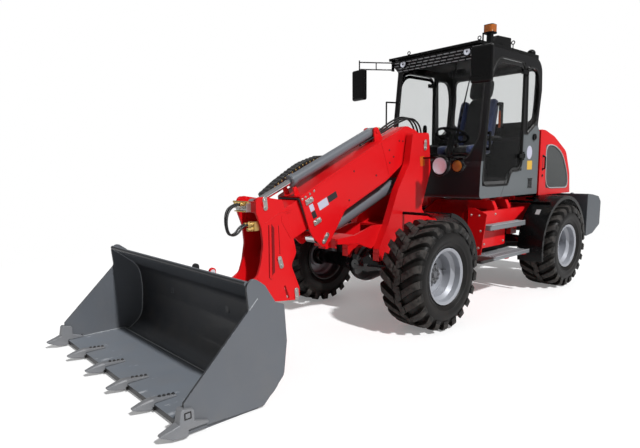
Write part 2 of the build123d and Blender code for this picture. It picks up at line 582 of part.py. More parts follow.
def tilt_barrel():
    """The tilt cylinder's barrel, fixed inside the inner boom."""
    run, lean = tilt_line()
    tube = turned([(26, 60), (50, 60), (50, 650), (26, 650)], (0, 0, 0), "X")
    cap = turned([(0, 30), (40, 30), (50, 60), (0, 60)], (0, 0, 0), "X")
    eye = cross_pin((0, 0), 36, -INNER_BOOM_HALF_WIDTH + INNER_BOOM_WALL + 0.3,
                    INNER_BOOM_HALF_WIDTH - INNER_BOOM_WALL - 0.3)
    return Pos(TILT_BASE[0], 0, TILT_BASE[1]) * Rot(0, -lean, 0) * (tube + cap + eye)


def tilt_line():
    """Length and lean of the tilt cylinder, from its base to the bellcrank's top pin."""
    dx, dz = BELLCRANK_TOP_PIN[0] - TILT_BASE[0], BELLCRANK_TOP_PIN[1] - TILT_BASE[1]
    return hypot(dx, dz), degrees(atan2(dz, dx))


def tilt_rod():
    """The tilt cylinder's rod with its solid eye."""
    run, lean = tilt_line()
    rod = turned([(0, 320), (25, 320), (25, run), (0, run)], (0, 0, 0), "X")
    eye = cross_pin((run, 0), 30, -24, 24)
    return Pos(TILT_BASE[0], 0, TILT_BASE[1]) * Rot(0, -lean, 0) * (rod + eye)


def lift_line():
    """Length and lean of the lift cylinder."""
    dx, dz = LIFT_EYE[0] - LIFT_BASE[0], LIFT_EYE[1] - LIFT_BASE[1]
    return hypot(dx, dz), degrees(atan2(dz, dx))


def lift_barrel():
    """The lift cylinder's barrel with its base eye and tapered gland."""
    run, lean = lift_line()
    end = run - 220
    tube = turned([(33, 90), (68, 90), (68, end - 60), (52, end - 8), (52, end), (33, end)],
                  (0, 0, 0), "X")
    cap = turned([(0, 40), (50, 40), (68, 90), (0, 90)], (0, 0, 0), "X")
    eye = cross_pin((0, 0), 56, -58, 58) - cross_pin((0, 0), 28.05, -59, 59)
    return Pos(LIFT_BASE[0], 0, LIFT_BASE[1]) * Rot(0, -lean, 0) * (tube + cap + eye)


def lift_rod():
    """The lift cylinder's rod with its solid eye."""
    run, lean = lift_line()
    rod = turned([(0, 260), (32, 260), (32, run), (0, run)], (0, 0, 0), "X")
    eye = cross_pin((run, 0), 48, -56, 56)
    return Pos(LIFT_BASE[0], 0, LIFT_BASE[1]) * Rot(0, -lean, 0) * (rod + eye)


def hose_chain():
    """The cable chain on the boom's right: arched upper run and rear bend, carried by the head."""
    seat = CHAIN_SEAT
    run = [(CHAIN_FRONT, seat, 0), (CHAIN_FRONT, seat + 34, 0), (1610, 325, 500), (1290, 356, 500), (1060, 322, 200),
           (924, 228, 60), (1180, 228, 0), (1180, 258, 0), (1040, 258, 40), (1120, 298, 150),
           (1290, 318, 400), (1600, 289, 500)]
    return BOOM_FRAME * side_plate(run, -180, -96)


def couplings():
    """The hydraulic quick couplings and their block at the top of the head."""
    x, z = head_point(344, 190)
    body = block((x, x + 46), (-70, 70), (z - 36, z + 36))
    for y in (-40, 0, 40):
        body += turned([(0, 40), (18, 40), (18, 62), (NIPPLE_RADIUS, 62), (NIPPLE_RADIUS, 62 + NIPPLE_REACH),
                        (0, 62 + NIPPLE_REACH)], (x, y, z + 8), "X")
    return body


# ---------------------------------------------------------------- coupler and bucket
BUCKET_SIDE = [(934, -366, 0), (934, -208, 12), (498, 213, 40), (512, 362, 44), (458, 398, 44),
               (380, 342, 40), (304, 226, 12), (240, 206, 16), (224, -28, 0), (252, -240, 60),
               (412, -389, 30), (845, -372, 0), (845, -366, 0)]
BUCKET_SHELL = [(830, -372, 0), (400, -388, 150), (262, -290, 200), (236, -20, 120), (262, 190, 110),
                (500, 372, 0), (900, -300, 0)]


def quick_coupler():
    """The attachment frame: pivot ears, link ears, two hook plates and their cross tubes."""
    outer = INNER_BOOM_HALF_WIDTH + HEAD_PLATE
    ear = [(-58, 40, 40), (20, 66, 40), (190, 150, 20), (216, 150, 10), (216, -300, 10), (176, -300, 20),
           (100, -70, 60), (-30, -58, 40)]
    ear = both_sides(side_plate(shifted(ear, *COUPLER_PIVOT), outer + 8, outer + 36))
    pin = cross_pin(COUPLER_PIVOT, 30, -outer - 44, outer + 44)
    shin = [(-50, -300, 40), (-46, -226, 40), (170, -150, 20), (216, -150, 0), (216, -300, 0)]
    shin = both_sides(side_plate(shifted(shin, *COUPLER_PIVOT), 82, 104))
    link_pin = cross_pin(COUPLER_LINK_PIN, 24, -104, 104)
    x, z = COUPLER_PIVOT
    rails = block((x + 178, x + 216), (-430, 430), (z + 96, z + 150))
    rails += block((x + 178, x + 216), (-430, 430), (z - 300, z - 246))
    uprights = both_sides(block((x + 178, x + 216), (380, 430), (z - 300, z + 150)))
    lug = both_sides(side_plate(shifted([(178, 140, 0), (170, 300, 26), (226, 300, 26), (216, 140, 0)],
                                        *COUPLER_PIVOT), 112, 132))
    return ear + pin + shin + link_pin + rails + uprights + lug


def bucket():
    """The bucket: a rolled sheet, two lobed side plates, a cutting edge and the hooks on its back."""
    half, sheet = BUCKET_WIDTH / 2, BUCKET_SHEET
    inside = half - BUCKET_SIDE_SHEET
    x, z = COUPLER_PIVOT
    sides = both_sides(side_plate(shifted(BUCKET_SIDE, x, z), inside, half))
    shell = shifted(BUCKET_SHELL, x, z)
    hollow = inset(shell, [sheet] * 5 + [-200] + [-200])
    skin = side_plate(shell, -inside, inside) - side_plate(hollow, -inside - 1, inside + 1)
    edge = block((x + 800, x + CUTTING_EDGE), (-half, half), (z - 366 - CUTTING_EDGE_SHEET, z - 366))
    floor = floor_plate([(x + 430, -inside, 0), (x + CUTTING_EDGE, -inside, 0), (x + CUTTING_EDGE, inside, 0),
                         (x + 446, inside, 0), (x + 446, 61, 0), (x + 430, 61, 0)], z - 366, z - 352)
    strips = group([block((x + 440, x + 800), (y - 30, y + 30), (z - 400, z - 372))
                    for y in (-half + 46, -340, 340, half - 46)])
    hook = side_plate(shifted([(216, 152, 0), (216, 60, 0), (262, 30, 0), (262, 190, 0), (230, 190, 20)],
                              x, z), 386, 424)
    lip = cross_pin((x + 500, z + 366), 16, -inside, inside)
    return sides + skin + edge + floor + both_sides(hook) + lip + strips


def bucket_teeth():
    """Bolt-on teeth along the cutting edge: tapered tips, and forked corner teeth with side cutters."""
    x, z = COUPLER_PIVOT
    seat, lower = z - 352, z - 366 - CUTTING_EDGE_SHEET
    tip, edge = x + BUCKET_REACH - TOOTH_SETBACK, x + CUTTING_EDGE
    wide, narrow = TOOTH_WIDTH / 2, TOOTH_WIDTH / 4
    side = [(tip, z - 356, 0), (tip - 6, z - 346, 0), (edge + 16, z - 318, 10), (edge - 34, z - 324, 10),
            (edge - 150, seat + 12, 0), (edge - 150, seat, 0), (edge, seat, 0), (edge, lower, 0),
            (edge + 40, lower - 6, 20)]
    plan = [(edge - 151, -wide + 8, 0), (edge - 20, -wide, 0), (edge + 14, -wide - 8, 10), (tip + 1, -narrow, 0),
            (tip + 1, narrow, 0), (edge + 14, wide + 8, 10), (edge - 20, wide, 0), (edge - 151, wide - 8, 0)]
    tooth = side_plate(side, -wide - 10, wide + 10) & floor_plate(plan, lower - 20, z - 300)

    tip = x + BUCKET_REACH
    cutter = [(tip, z - 332, 0), (tip - 6, z - 320, 0), (x + 1000, z - 272, 20), (x + 962, z - 204, 12),
              (x + 840, z - 238, 12), (x + 842, z - 296, 10), (x + 800, z - 330, 10), (x + 788, seat, 0),
              (edge, seat, 0), (edge, lower, 0), (x + 1010, lower - 4, 20)]
    out = BUCKET_WIDTH / 2 + CORNER_TOOTH_OUT
    root = BUCKET_WIDTH / 2 - BUCKET_SIDE_SHEET - CORNER_TOOTH_OUT
    middle = (out + root) / 2
    plan = [(x + 780, root, 0), (x + 990, root, 30), (tip + 1, middle - narrow, 0), (tip + 1, middle + narrow, 0),
            (x + 990, out, 30), (x + 780, out, 0)]
    corner = side_plate(cutter, root, out) & floor_plate(plan, lower - 20, z - 200)
    corner -= block((x + 700, x + 934), (BUCKET_WIDTH / 2 - BUCKET_SIDE_SHEET, BUCKET_WIDTH / 2),
                    (lower - 10, z - 200))
    span = BUCKET_WIDTH - TOOTH_WIDTH
    places = [-span / 2 + span * i / (TOOTH_COUNT - 1) for i in range(1, TOOTH_COUNT - 1)]
    return group([corner, mirrored(corner)] + [Pos(0, y, 0) * tooth for y in places])


# ---------------------------------------------------------------- rear frame
def rear_frame():
    """Two side rails, the rear half of the articulation, the axle saddle and the hood's hinge posts."""
    root = PIVOT_AHEAD - 95
    rail = [(root + 20, 540, 10), (root + 20, 900, 10), (PIVOT_AHEAD - 285, 1020, 60), (-520, 1020, 0),
            (-520, 700, 30), (-210, 640, 60), (130, 640, 60), (530, 500, 60), (PIVOT_AHEAD - 285, 440, 60)]
    frame = both_sides(side_plate(rail, RAIL_INSIDE, RAIL_OUTSIDE))
    head = (LUG_LEVELS[1][1] + LUG_GAP, LUG_LEVELS[0][0] - LUG_GAP)
    frame += block((root, root + 24), (-RAIL_INSIDE, RAIL_INSIDE), head)
    frame += block((-520, 830), (-RAIL_INSIDE, RAIL_INSIDE), (996, 1016))
    frame += block((810, 830), (-RAIL_INSIDE, RAIL_INSIDE), (520, 996))
    frame += hinge_lug(PIVOT_AHEAD, root, head[1] - LUG_DEPTH, head[1], RAIL_INSIDE)
    frame += hinge_lug(PIVOT_AHEAD, root, head[0], head[0] + LUG_DEPTH, RAIL_INSIDE)
    frame -= Pos(PIVOT_AHEAD, 0, 650) * Cylinder(PIVOT_PIN_RADIUS + 0.05, 600)
    frame += both_sides(block((-70, 70), (186, RAIL_OUTSIDE), (560, 660)))
    x, z = HOOD_HINGE
    post = block((x + 14, x + 24), (RAIL_OUTSIDE, HOOD_HINGE_OUT - 6), (1000, z + 14))
    lug = block((x, x + 24), (HOOD_HINGE_OUT - 22, HOOD_HINGE_OUT - 6), (z - 14, z + 14))
    lug += cross_pin(HOOD_HINGE, 14, HOOD_HINGE_OUT - 22, HOOD_HINGE_OUT - 6)
    lug += cross_pin(HOOD_HINGE, 8, HOOD_HINGE_OUT - 26, HOOD_HINGE_OUT + 40)
    return frame + both_sides(post + lug) - axle_clearance()


def cab_skirts():
    """What the rails carry at each side: cab beams and mounts, the skirt, and the steps' brackets."""
    front, outside, inside = STEP_PLATE_FRONT, SKIRT_OUTSIDE, SKIRT_OUTSIDE - CARRIER_SHEET
    skirt = side_plate([(front, 560, 10), (front, 940, 0), (380, 940, 20), (670, 800, 40), (860, 775, 10),
                        (860, 560, 20)], inside, outside)
    across = cross_plate([(428, STEP_LEVEL, 0), (inside, STEP_LEVEL, 10), (outside + 45, 916, 10),
                          (500, 975, 20), (428, 975, 10)], front - CARRIER_SHEET, front)
    beam = [(RAIL_OUTSIDE, 950, 0), (RAIL_OUTSIDE, 1040, 0), (548, 1040, 10), (inside, 960, 10),
            (inside, 880, 0), (520, 880, 10), (500, 950, 30)]
    carrier = skirt + across
    for x in (730, 1010):
        carrier += cross_plate(beam, x, x + 60) + Pos(x + 30, 460, (1040 + CAB_FLOOR) / 2) * Cylinder(
            42, CAB_FLOOR - 1040)
    under = STEP_LEVEL - STEP_SHEET
    carrier += block((430, front), (inside - 30, outside), (928, 940))               # top flange
    carrier += block((630, 1090), (RAIL_OUTSIDE, 500), (under, under + 18))       # tank shelf
    for x in (640, 1020):
        carrier += block((x, x + 60), (RAIL_OUTSIDE, STEP_OUTSIDE - 20), (under - 18, under))
    for x in (760, 1180):                                                          # upper tread
        carrier += block((x, x + 50), (outside - 4, UPPER_STEP_OUTSIDE - 12),
                         (UPPER_STEP_LEVEL - UPPER_STEP_SHEET - 14, UPPER_STEP_LEVEL - UPPER_STEP_SHEET))
    return pair(carrier)


def side_tanks():
    """Fuel tank on the left and battery box on the right, on shelves between the axles."""
    seat = STEP_LEVEL - STEP_SHEET + 18 + SEAT_GAP
    tank = [(640, seat, 40), (640, 860, 60), (1080, 930, 30), (1080, seat, 30)]
    return pair(side_plate(tank, RAIL_OUTSIDE + 4, 500))


def steps():
    """Two folded grip treads a side."""
    inner, front = STEP_OUTSIDE - STEP_TREAD, STEP_PLATE_FRONT
    rear = REAR_FENDER_RADIUS + 15
    low = floor_plate([(rear, STEP_OUTSIDE, 20), (front + 270, STEP_OUTSIDE, 20), (front + 270, 655, 20),
                       (front + 95, inner, 20), (rear, inner, 20)], STEP_LEVEL - STEP_SHEET, STEP_LEVEL)
    high = floor_plate([(570, UPPER_STEP_OUTSIDE, 16), (front - CARRIER_SHEET, UPPER_STEP_OUTSIDE, 16),
                        (front - CARRIER_SHEET, SKIRT_OUTSIDE, 0), (570, SKIRT_OUTSIDE, 0)],
                       UPPER_STEP_LEVEL - UPPER_STEP_SHEET, UPPER_STEP_LEVEL)
    return group([low, high, mirrored(low), mirrored(high)])


def counterweight():
    """The cast rear weight: chamfered block with wings behind the tyres and a towing pin."""
    half = COUNTERWEIGHT_HALF_WIDTH
    rear = COUNTERWEIGHT_REAR
    side = [(rear + 425, 522, 20), (rear + 216, 542, 30), (rear, 640, 30), (rear, 930, 20),
            (rear + 80, 1000, 20), (rear + 260, 1030, 20), (rear + 425, 1046, 10)]
    body = side_plate(side, -half, half)
    nose = block((-630, -470), (-500, 500), (560, 1040)) - block((-570, -370), (-300, 300), (500, 1100))
    slot = block((rear - 1, rear + TOW_PIN_AHEAD + 60), (-70, 70), TOW_SLOT_LEVELS)
    bore = Pos(rear + TOW_PIN_AHEAD, 0, TOW_BORE_FLOOR + 250) * Cylinder(TOW_BORE_RADIUS, 500)
    return body + nose - slot - bore


def engine():
    """The engine, radiator and pump as one plain block."""
    radiator = block((-600, -460), (-300, 300), (1040, 1400))
    return radiator + block((-460, 10), (-320, 320), (1020, 1480)) + block(
        (10, 90), (-180, 180), (1040, 1300))


# ---------------------------------------------------------------- cab
CAB_SIDE = [(1395, CAB_FLOOR, 40), (1382, 1400, 0), (1340, 1650, 200), (1234, 2470, 60),
            (1234, CAB_ROOF - 60, 20), (140, CAB_ROOF - 60, 160), (CAB_REAR - 14, 2250, 200),
            (CAB_REAR + 50, 1850, 60), (CAB_REAR, 1790, 20), (CAB_REAR, CAB_FLOOR, 20)]
DOOR = [(1352, 1200, 20), (1292, 1780, 200), (1230, 2330, 60), (1100, 2500, 160), (525, 2500, 20),
        (525, 1345, 20), (755, 1345, 20), (812, 1232, 20), (830, 1200, 20)]
QUARTER = [(440, 1735, 20), (470, 2470, 20), (230, 2470, 120), (168, 2250, 200),
           (216, 1880, 60)]

WIND_OPENING = [(-CAB_HALF_WIDTH + 52, 1700, 60), (-CAB_HALF_WIDTH + 60, 2500, 60),
                (CAB_HALF_WIDTH - 60, 2500, 60), (CAB_HALF_WIDTH - 52, 1700, 60),
                (CAB_HALF_WIDTH - 170, 1470, 80), (-CAB_HALF_WIDTH + 170, 1470, 80)]
REAR_OPENING = [(-CAB_HALF_WIDTH + 70, 1900, 60), (-CAB_HALF_WIDTH + 70, 2480, 60),
                (CAB_HALF_WIDTH - 70, 2480, 60), (CAB_HALF_WIDTH - 70, 1900, 60)]


def cab_shell():
    """The whole cab as a thin shell, before it is cut into its real panels."""
    half, skin = CAB_HALF_WIDTH, CAB_SKIN
    outside = side_plate(CAB_SIDE, -half, half)
    walls = inset(CAB_SIDE, [skin] * 4 + [0] + [skin] * 5)
    inside = side_plate(walls, -half + skin, half - skin)
    shell = outside - inside
    door = extrude(Plane.XZ.offset(-half - 1) * rounded_face(DOOR), 2 * half + 2)
    quarter = extrude(Plane.XZ.offset(-half - 1) * rounded_face(QUARTER), 2 * half + 2)
    wind = cross_plate(WIND_OPENING, 1170, 1430)
    rear = cross_plate(REAR_OPENING, CAB_REAR - 100, CAB_REAR + 100)
    return shell - door - quarter - wind - rear


SILL = [(1530, 1000, 0), (1530, 1452, 0), (1310, 1452, 0), (1300, 1350, 0), (455, 1350, 0),
        (455, 1715, 0), (230, 1850, 0), (10, 1850, 0), (10, 1000, 0)]


def below_sill():
    """The space of the lower panels."""
    return side_plate(SILL, -CAB_HALF_WIDTH - 10, CAB_HALF_WIDTH + 10)


def glass_pane(outline, y_low, y_high, gap):
    """A flat pane that fills an opening but for a gap all round."""
    return side_plate(inset(outline, [gap] * len(outline)), y_low, y_high)


def glass_skin():
    """A thin skin set into the cab's front and rear faces, to be cut into panes."""
    half = CAB_HALF_WIDTH
    outer = side_plate(inset(CAB_SIDE, [10.0] * len(CAB_SIDE)), -half, half)
    inner = side_plate(inset(CAB_SIDE, [10.0 + GLASS] * len(CAB_SIDE)), -half, half)
    return outer - inner


def windscreen():
    """The front pane with its cut lower corners, leaning with the front posts."""
    return cross_plate(inset(WIND_OPENING, [GLASS_FIT] * len(WIND_OPENING)), 1170, 1430) & glass_skin()


def cab_windows():
    """Rear pane and the two quarter panes behind the doors."""
    half = CAB_HALF_WIDTH
    quarter = glass_pane(QUARTER, half - 20, half - 20 + GLASS, GLASS_FIT)
    rear = cross_plate(inset(REAR_OPENING, [GLASS_FIT] * len(REAR_OPENING)), CAB_REAR - 100, CAB_REAR + 100)
    return group([quarter, mirrored(quarter), rear & glass_skin()])


def door_glass():
    """The left door: one toughened pane that fills the opening."""
    return glass_pane(DOOR, CAB_HALF_WIDTH - 12, CAB_HALF_WIDTH - 4, DOOR_GAP)


DOOR_PIN = (508.0, CAB_HALF_WIDTH + 16)     # X and Y
HINGE_LEVELS = (1507.0, 2400.0)


def door_fittings():
    """Hinge straps, their barrels on the pin line, and the pull handle near the front edge."""
    x, y = DOOR_PIN
    parts = None
    for z in HINGE_LEVELS:
        strap = block((x, x + 110), (y - 6, y + 6), (z - 22, z + 22))
        clamp = block((x + 40, x + 110), (CAB_HALF_WIDTH - 4, y - 6), (z - 22, z + 22))
        knuckle = Pos(x, y, z) * Cylinder(11, 44) - Pos(x, y, z) * Cylinder(5.05, 50)
        piece = strap + clamp + knuckle - Pos(x, y, z) * Cylinder(5.05, 50)
        parts = [piece] if parts is None else parts + [piece]
    handle = block((1250, 1280), (CAB_HALF_WIDTH - 4, CAB_HALF_WIDTH + 30), (1560, 1590))
    handle += block((1250, 1280), (CAB_HALF_WIDTH - 4, CAB_HALF_WIDTH + 30), (1720, 1750))
    handle += block((1250, 1280), (CAB_HALF_WIDTH + 18, CAB_HALF_WIDTH + 30), (1560, 1750))
    return group(parts + [handle])


def grab_rail():
    """The hand rail ahead of the right front post."""
    high, low = (1410, -CAB_HALF_WIDTH - 25, 2150), (1410, -CAB_HALF_WIDTH - 25, 1640)
    rail = rod(high, low, GRAB_TUBE)
    for corner, root_x in ((high, 1272), (low, 1334)):
        rail += rod((root_x, -CAB_HALF_WIDTH + 15, corner[2]), corner, GRAB_TUBE)
        rail += Pos(*corner) * Sphere(GRAB_TUBE)
    return rail


def cab_frame():
    """Posts, rails, the hand rail and the door hinge pins."""
    frame = cab_shell() - below_sill() + grab_rail()
    x, y = DOOR_PIN
    for z in HINGE_LEVELS:
        pin = Pos(x, y, z) * Cylinder(5, 90)
        for level in (z - 36, z + 36):
            pin += block((x - 12, x + 12), (CAB_HALF_WIDTH, y + 8), (level - 8, level + 8))
        frame += both_sides(pin)
    return frame


def visor_band(x_low, x_high):
    """One band of the roof guard's plate, pierced by two rows of slots."""
    low, high = VISOR_LEVELS
    sheet = block((x_low, x_high), (-548, 548), (high - 8, high - 4))
    pitch = 1060 / VISOR_SLOTS
    slots = [block((x, x + 26), (y + 8, y + pitch - 8), (low, high))
             for x in (x_low + 14, x_high - 40)
             for y in [-530 + pitch * i for i in range(VISOR_SLOTS)]]
    return sheet - group(slots)


def lifting_eye(x, y):
    """A ring bolt on the roof."""
    stem = Pos(x, y, CAB_ROOF + 6) * Cylinder(5, 52)
    return stem + Pos(x, y, CAB_ROOF + 48) * Rot(0, 90, 0) * Torus(17, 5)


def cab_roof():
    """Roof panel with a raised middle, ring bolts, and the pierced guard ahead of it."""
    half = CAB_HALF_WIDTH - 15
    roof = floor_plate([(1300, -half, 60), (1300, half, 60), (140, half, 80), (140, -half, 80)],
                       CAB_ROOF - 60, CAB_ROOF - 18)
    roof += floor_plate([(1180, -480, 60), (1180, 480, 60), (230, 480, 80), (230, -480, 80)],
                        CAB_ROOF - 18, CAB_ROOF)
    rear, front, (low, high) = VISOR_REAR, VISOR_FRONT, VISOR_LEVELS
    roof += both_sides(block((rear, front), (545, 565), (low, high)))
    middle = (rear + front) / 2
    for x in (front - 12, LAMP_BAR, middle + 8, middle - 16):
        roof += block((x, x + 8), (-548, 548), (low + 6, high))
    roof += visor_band(middle + 12, front - 10) + visor_band(rear + 14, middle - 12)
    for x, y in ((1230, 440), (750, 550)):
        roof += both_sides(lifting_eye(x, y))
    return roof


def roof_lights():
    """Beacon beside its housing on the roof, round work lamps under the guard and at the rear."""
    housing = side_plate([(1064, CAB_ROOF, 0), (946, CAB_ROOF + 108, 24), (658, CAB_ROOF + 120, 12),
                          (650, CAB_ROOF, 0)], 392, 478)
    stalk = block((1020, 1070), (425, 475), (CAB_ROOF, CAB_ROOF + 112))
    cap = Pos(1045, 450, CAB_ROOF + 156) * Box(104, 104, 88)
    beacon = stalk + fillet(cap.edges().filter_by(Axis.Z), 24)
    front = turned([(0, -36), (30, -36), (46, -6), (48, 12), (42, 18), (0, 22)], (1368, 400, 2543), "X")
    front += block((LAMP_BAR - 11, LAMP_BAR + 19), (385, 415), (2560, VISOR_LEVELS[0] + 6))
    rear = Pos(118, 440, CAB_ROOF + 34) * Rot(0, 0, 180) * turned(
        [(0, -36), (30, -36), (46, -6), (48, 12), (42, 18), (0, 22)], (0, 0, 0), "X")
    rear += block((140, 200), (425, 455), (CAB_ROOF - 18, CAB_ROOF + 30))
    return group([housing + beacon, front, mirrored(front), rear, mirrored(rear)])


def mirrors():
    """Door mirrors hung from ladder-shaped tube arms at the roof guard's corners."""
    x, y, z = MIRROR_AT
    root_x, root_y = VISOR_FRONT - 60, 560
    head = Pos(x, y, z) * Rot(0, 0, MIRROR_TURN) * fillet(Box(*MIRROR_SIZE).edges(), 22)
    low, high = z + MIRROR_SIZE[2] / 2 + 8, z + MIRROR_SIZE[2] / 2 + 104
    root = block((root_x - 24, root_x + 12), (root_y - 7, root_y + 7), (low - 16, VISOR_LEVELS[0]))
    arm = rod((x, y, z + 120), (x, y, high), MIRROR_TUBE)
    for level in (low, min(high, VISOR_LEVELS[0] - 10)):
        arm += rod((root_x, root_y, level), (x, y, level), MIRROR_TUBE)
    middle = ((root_x + x) / 2, (root_y + y) / 2)
    arm += rod((*middle, low), (*middle, VISOR_LEVELS[0] - 10), MIRROR_TUBE - 1)
    return pair(head + arm + root)


def seat_base():
    """Suspension box under the seat."""
    return block((550, 930), (-190, 190), (1105, 1500)) + block((520, 960), (-230, 230), (1500, 1530))


def seat_cushion():
    """Seat cushion."""
    return floor_plate([(980, -245, 60), (980, 245, 60), (525, 245, 60), (525, -245, 60)],
                       1530.3, 1640)


def seat_back():
    """Backrest and headrest."""
    back = side_plate([(610, 1640.3, 40), (470, 2200, 40), (370, 2180, 40), (470, 1560, 40),
                                 (524.7, 1560, 0), (524.7, 1640.3, 0)], -235, 235)
    rest = side_plate([(465, 2215, 40), (440, 2420, 40), (345, 2410, 40), (368, 2200, 40)],
                      -130, 130)
    stem = block((395, 445), (-60, 60), (2170, 2240))
    return back + rest + stem


def steering_column():
    """Console, tilted column and steering wheel."""
    column = Pos(1160, 0, 1105) * Rot(0, -14, 0) * Pos(0, 0, 360) * Cylinder(36, 600)
    foot = block((1100, 1310), (-150, 150), (1105, 1330))
    wheel = Pos(1000, 0, 1752) * Rot(0, -24, 0) * (Torus(178, 15) + Box(340, 34, 14) + Box(34, 340, 14)
                                                     + Cylinder(40, 40))
    return column + foot + wheel


# ---------------------------------------------------------------- hood
HOOD_SIDE = [(108, 1052, 0), (108, 1812, 20), (-10, 1806, 0), (-250, 1742, 300), (-600, 1570, 160),
             (-732, 1300, 260), (-766, 1052, 0)]
GRILLE = [(-68, 1132, 20), (-38, 1640, 20), (-270, 1640, 120), (-495, 1540, 140),
          (-660, 1300, 200), (-688, 1118, 20)]


def hood_shell():
    """The engine hood: a closed shell, open below and towards the cab."""
    half, skin = HOOD_HALF_WIDTH, HOOD_SKIN
    outside = side_plate(HOOD_SIDE, -half, half)
    depths = [-10, skin, skin, skin, skin, skin, -10]      # open towards the cab and below
    inside = side_plate(inset(HOOD_SIDE, depths), -half + skin, half - skin)
    window = extrude(Plane.XZ.offset(-half - 1) * rounded_face(GRILLE), 2 * half + 2)
    shell = outside - inside - window
    hinge_x, hinge_z = HOOD_HINGE
    knuckle = cross_pin(HOOD_HINGE, 14, HOOD_HINGE_OUT, HOOD_HINGE_OUT + 34)
    knuckle += block((hinge_x - 14, hinge_x + 6), (HOOD_HINGE_OUT, HOOD_HINGE_OUT + 34), (1800, hinge_z))
    shell += both_sides(knuckle)
    return shell - cross_pin(HOOD_HINGE, 8.05, -HOOD_HINGE_OUT - 50, HOOD_HINGE_OUT + 50)


def hood_grilles():
    """Mesh panels that fill the side openings of the hood."""
    return pair(side_plate(inset(GRILLE, [0.3] * 6), HOOD_HALF_WIDTH - 16, HOOD_HALF_WIDTH - 6))


# ---------------------------------------------------------------- the whole machine


front_nodes = {
    "front_frame": front_frame(),
    "front_axle": axle(True),
    "front_fenders": pair(fender(FRONT_FENDER_RADIUS, 100, 172, FRONT_FENDER_INSIDE,
                                 FENDER_OUTSIDE, (118, 150), TOWER_OUTSIDE)),
    "headlamps": headlamps(),
    "outer_boom": outer_boom(),
    "extension_barrel": extension_barrel(),
    "extension_rod": extension_rod(),
    "inner_boom": inner_boom(),
    "hose_chain": hose_chain(),
    "hydraulic_couplings": couplings(),
    "lift_barrel": lift_barrel(),
    "lift_rod": lift_rod(),
    "bellcrank": bellcrank(),
    "tilt_link": tilt_link(),
    "tilt_barrel": tilt_barrel(),
    "tilt_rod": tilt_rod(),
    "quick_coupler": quick_coupler(),
    "bucket": bucket(),
    "bucket_teeth": bucket_teeth(),
}
rear_nodes = {
    "rear_frame": rear_frame(),
    "cab_skirts": cab_skirts(),
    "rear_axle": axle(False),
    "rear_fenders": pair(fender(REAR_FENDER_RADIUS, -13, 176, REAR_FENDER_INSIDE,
                                FENDER_OUTSIDE, (60, 120), RAIL_OUTSIDE)),
    "side_tanks": side_tanks(),
    "steps": steps(),
    "counterweight": counterweight(),
    "engine": engine(),
    "cab_tub": cab_shell() & below_sill(),
    "cab_frame": cab_frame(),
    "cab_roof": cab_roof(),
    "windscreen": windscreen(),
    "cab_windows": cab_windows(),
    "roof_lights": roof_lights(),
    "mirrors": mirrors(),
    "seat_base": seat_base(),
    "seat_cushion": seat_cushion(),
    "seat_back": seat_back(),
    "steering_column": steering_column(),
    "left_door": door_glass(),
    "left_door_fittings": door_fittings(),
    "right_door": mirrored(door_glass()),
    "right_door_fittings": mirrored(door_fittings()),
    "engine_hood": hood_shell(),
    "hood_grilles": hood_grilles(),
}
for end, axle_nodes in (("front", front_nodes), ("rear", rear_nodes)):
    for side, way in (("left", 1), ("right", -1)):
        for name, shape in (("tyre", tyre()), ("rim", rim())):
            turned_out = shape if way > 0 else mirrored(shape)
            axle_nodes[f"{end}_{side}_{name}"] = Pos(0, way * TRACK / 2, HUB_HEIGHT) * turned_out

os.makedirs("parts", exist_ok=True)
for axle_x, axle_nodes in ((0, front_nodes), (-WHEELBASE, rear_nodes)):
    for name, shape in axle_nodes.items():
        export_step(Pos(FRONT_AXLE_X + axle_x, 0, 0) * shape, f"parts/{name}.step")
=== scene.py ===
"""Looks of an articulated wheel loader with a telescopic boom and a toothed bucket.

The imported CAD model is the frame. Lengths are metres, +X is forward, +Y the machine's left and
+Z up. Places given as (x, y, z) in the sub-assemblies are measured from the ground under the
middle of the front axle, and `at` moves them to the frame; `rear` does so from the rear axle.
"""
import json
import logging
import math
from dataclasses import dataclass, field, replace
from enum import Enum

import bpy
import numpy as np
from mathutils import Matrix


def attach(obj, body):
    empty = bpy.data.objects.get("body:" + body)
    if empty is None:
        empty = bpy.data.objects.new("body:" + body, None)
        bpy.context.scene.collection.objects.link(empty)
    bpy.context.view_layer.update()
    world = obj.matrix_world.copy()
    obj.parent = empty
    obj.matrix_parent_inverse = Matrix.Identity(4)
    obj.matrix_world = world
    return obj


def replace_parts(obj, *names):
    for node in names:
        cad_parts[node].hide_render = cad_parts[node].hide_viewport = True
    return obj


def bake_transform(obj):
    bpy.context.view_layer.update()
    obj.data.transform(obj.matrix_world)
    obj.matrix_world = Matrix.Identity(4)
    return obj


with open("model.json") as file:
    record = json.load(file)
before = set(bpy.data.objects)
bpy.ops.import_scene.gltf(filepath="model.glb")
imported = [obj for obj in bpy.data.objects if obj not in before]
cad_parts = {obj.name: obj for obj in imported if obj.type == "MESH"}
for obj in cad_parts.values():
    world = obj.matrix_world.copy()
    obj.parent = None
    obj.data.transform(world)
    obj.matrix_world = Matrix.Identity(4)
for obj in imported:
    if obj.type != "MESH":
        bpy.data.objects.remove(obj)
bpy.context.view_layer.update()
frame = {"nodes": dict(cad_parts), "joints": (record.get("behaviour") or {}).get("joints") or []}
LOG = logging.getLogger("loader")
JOINTS = {joint["name"]: joint for joint in frame["joints"]}
FRONT_AXLE = np.array(JOINTS["front_left_wheel_spin"]["pos_m"]) * (1, 0, 0)
WHEEL_NAMES = ("front_left", "front_right", "rear_left", "rear_right")
MM = 0.001
TURN = 2 * math.pi
SHARP = math.radians(35)              # edges that turn further stay sharp

Vec3 = tuple[float, float, float]
Color = tuple[float, float, float, float]
Socket = bpy.types.NodeSocket


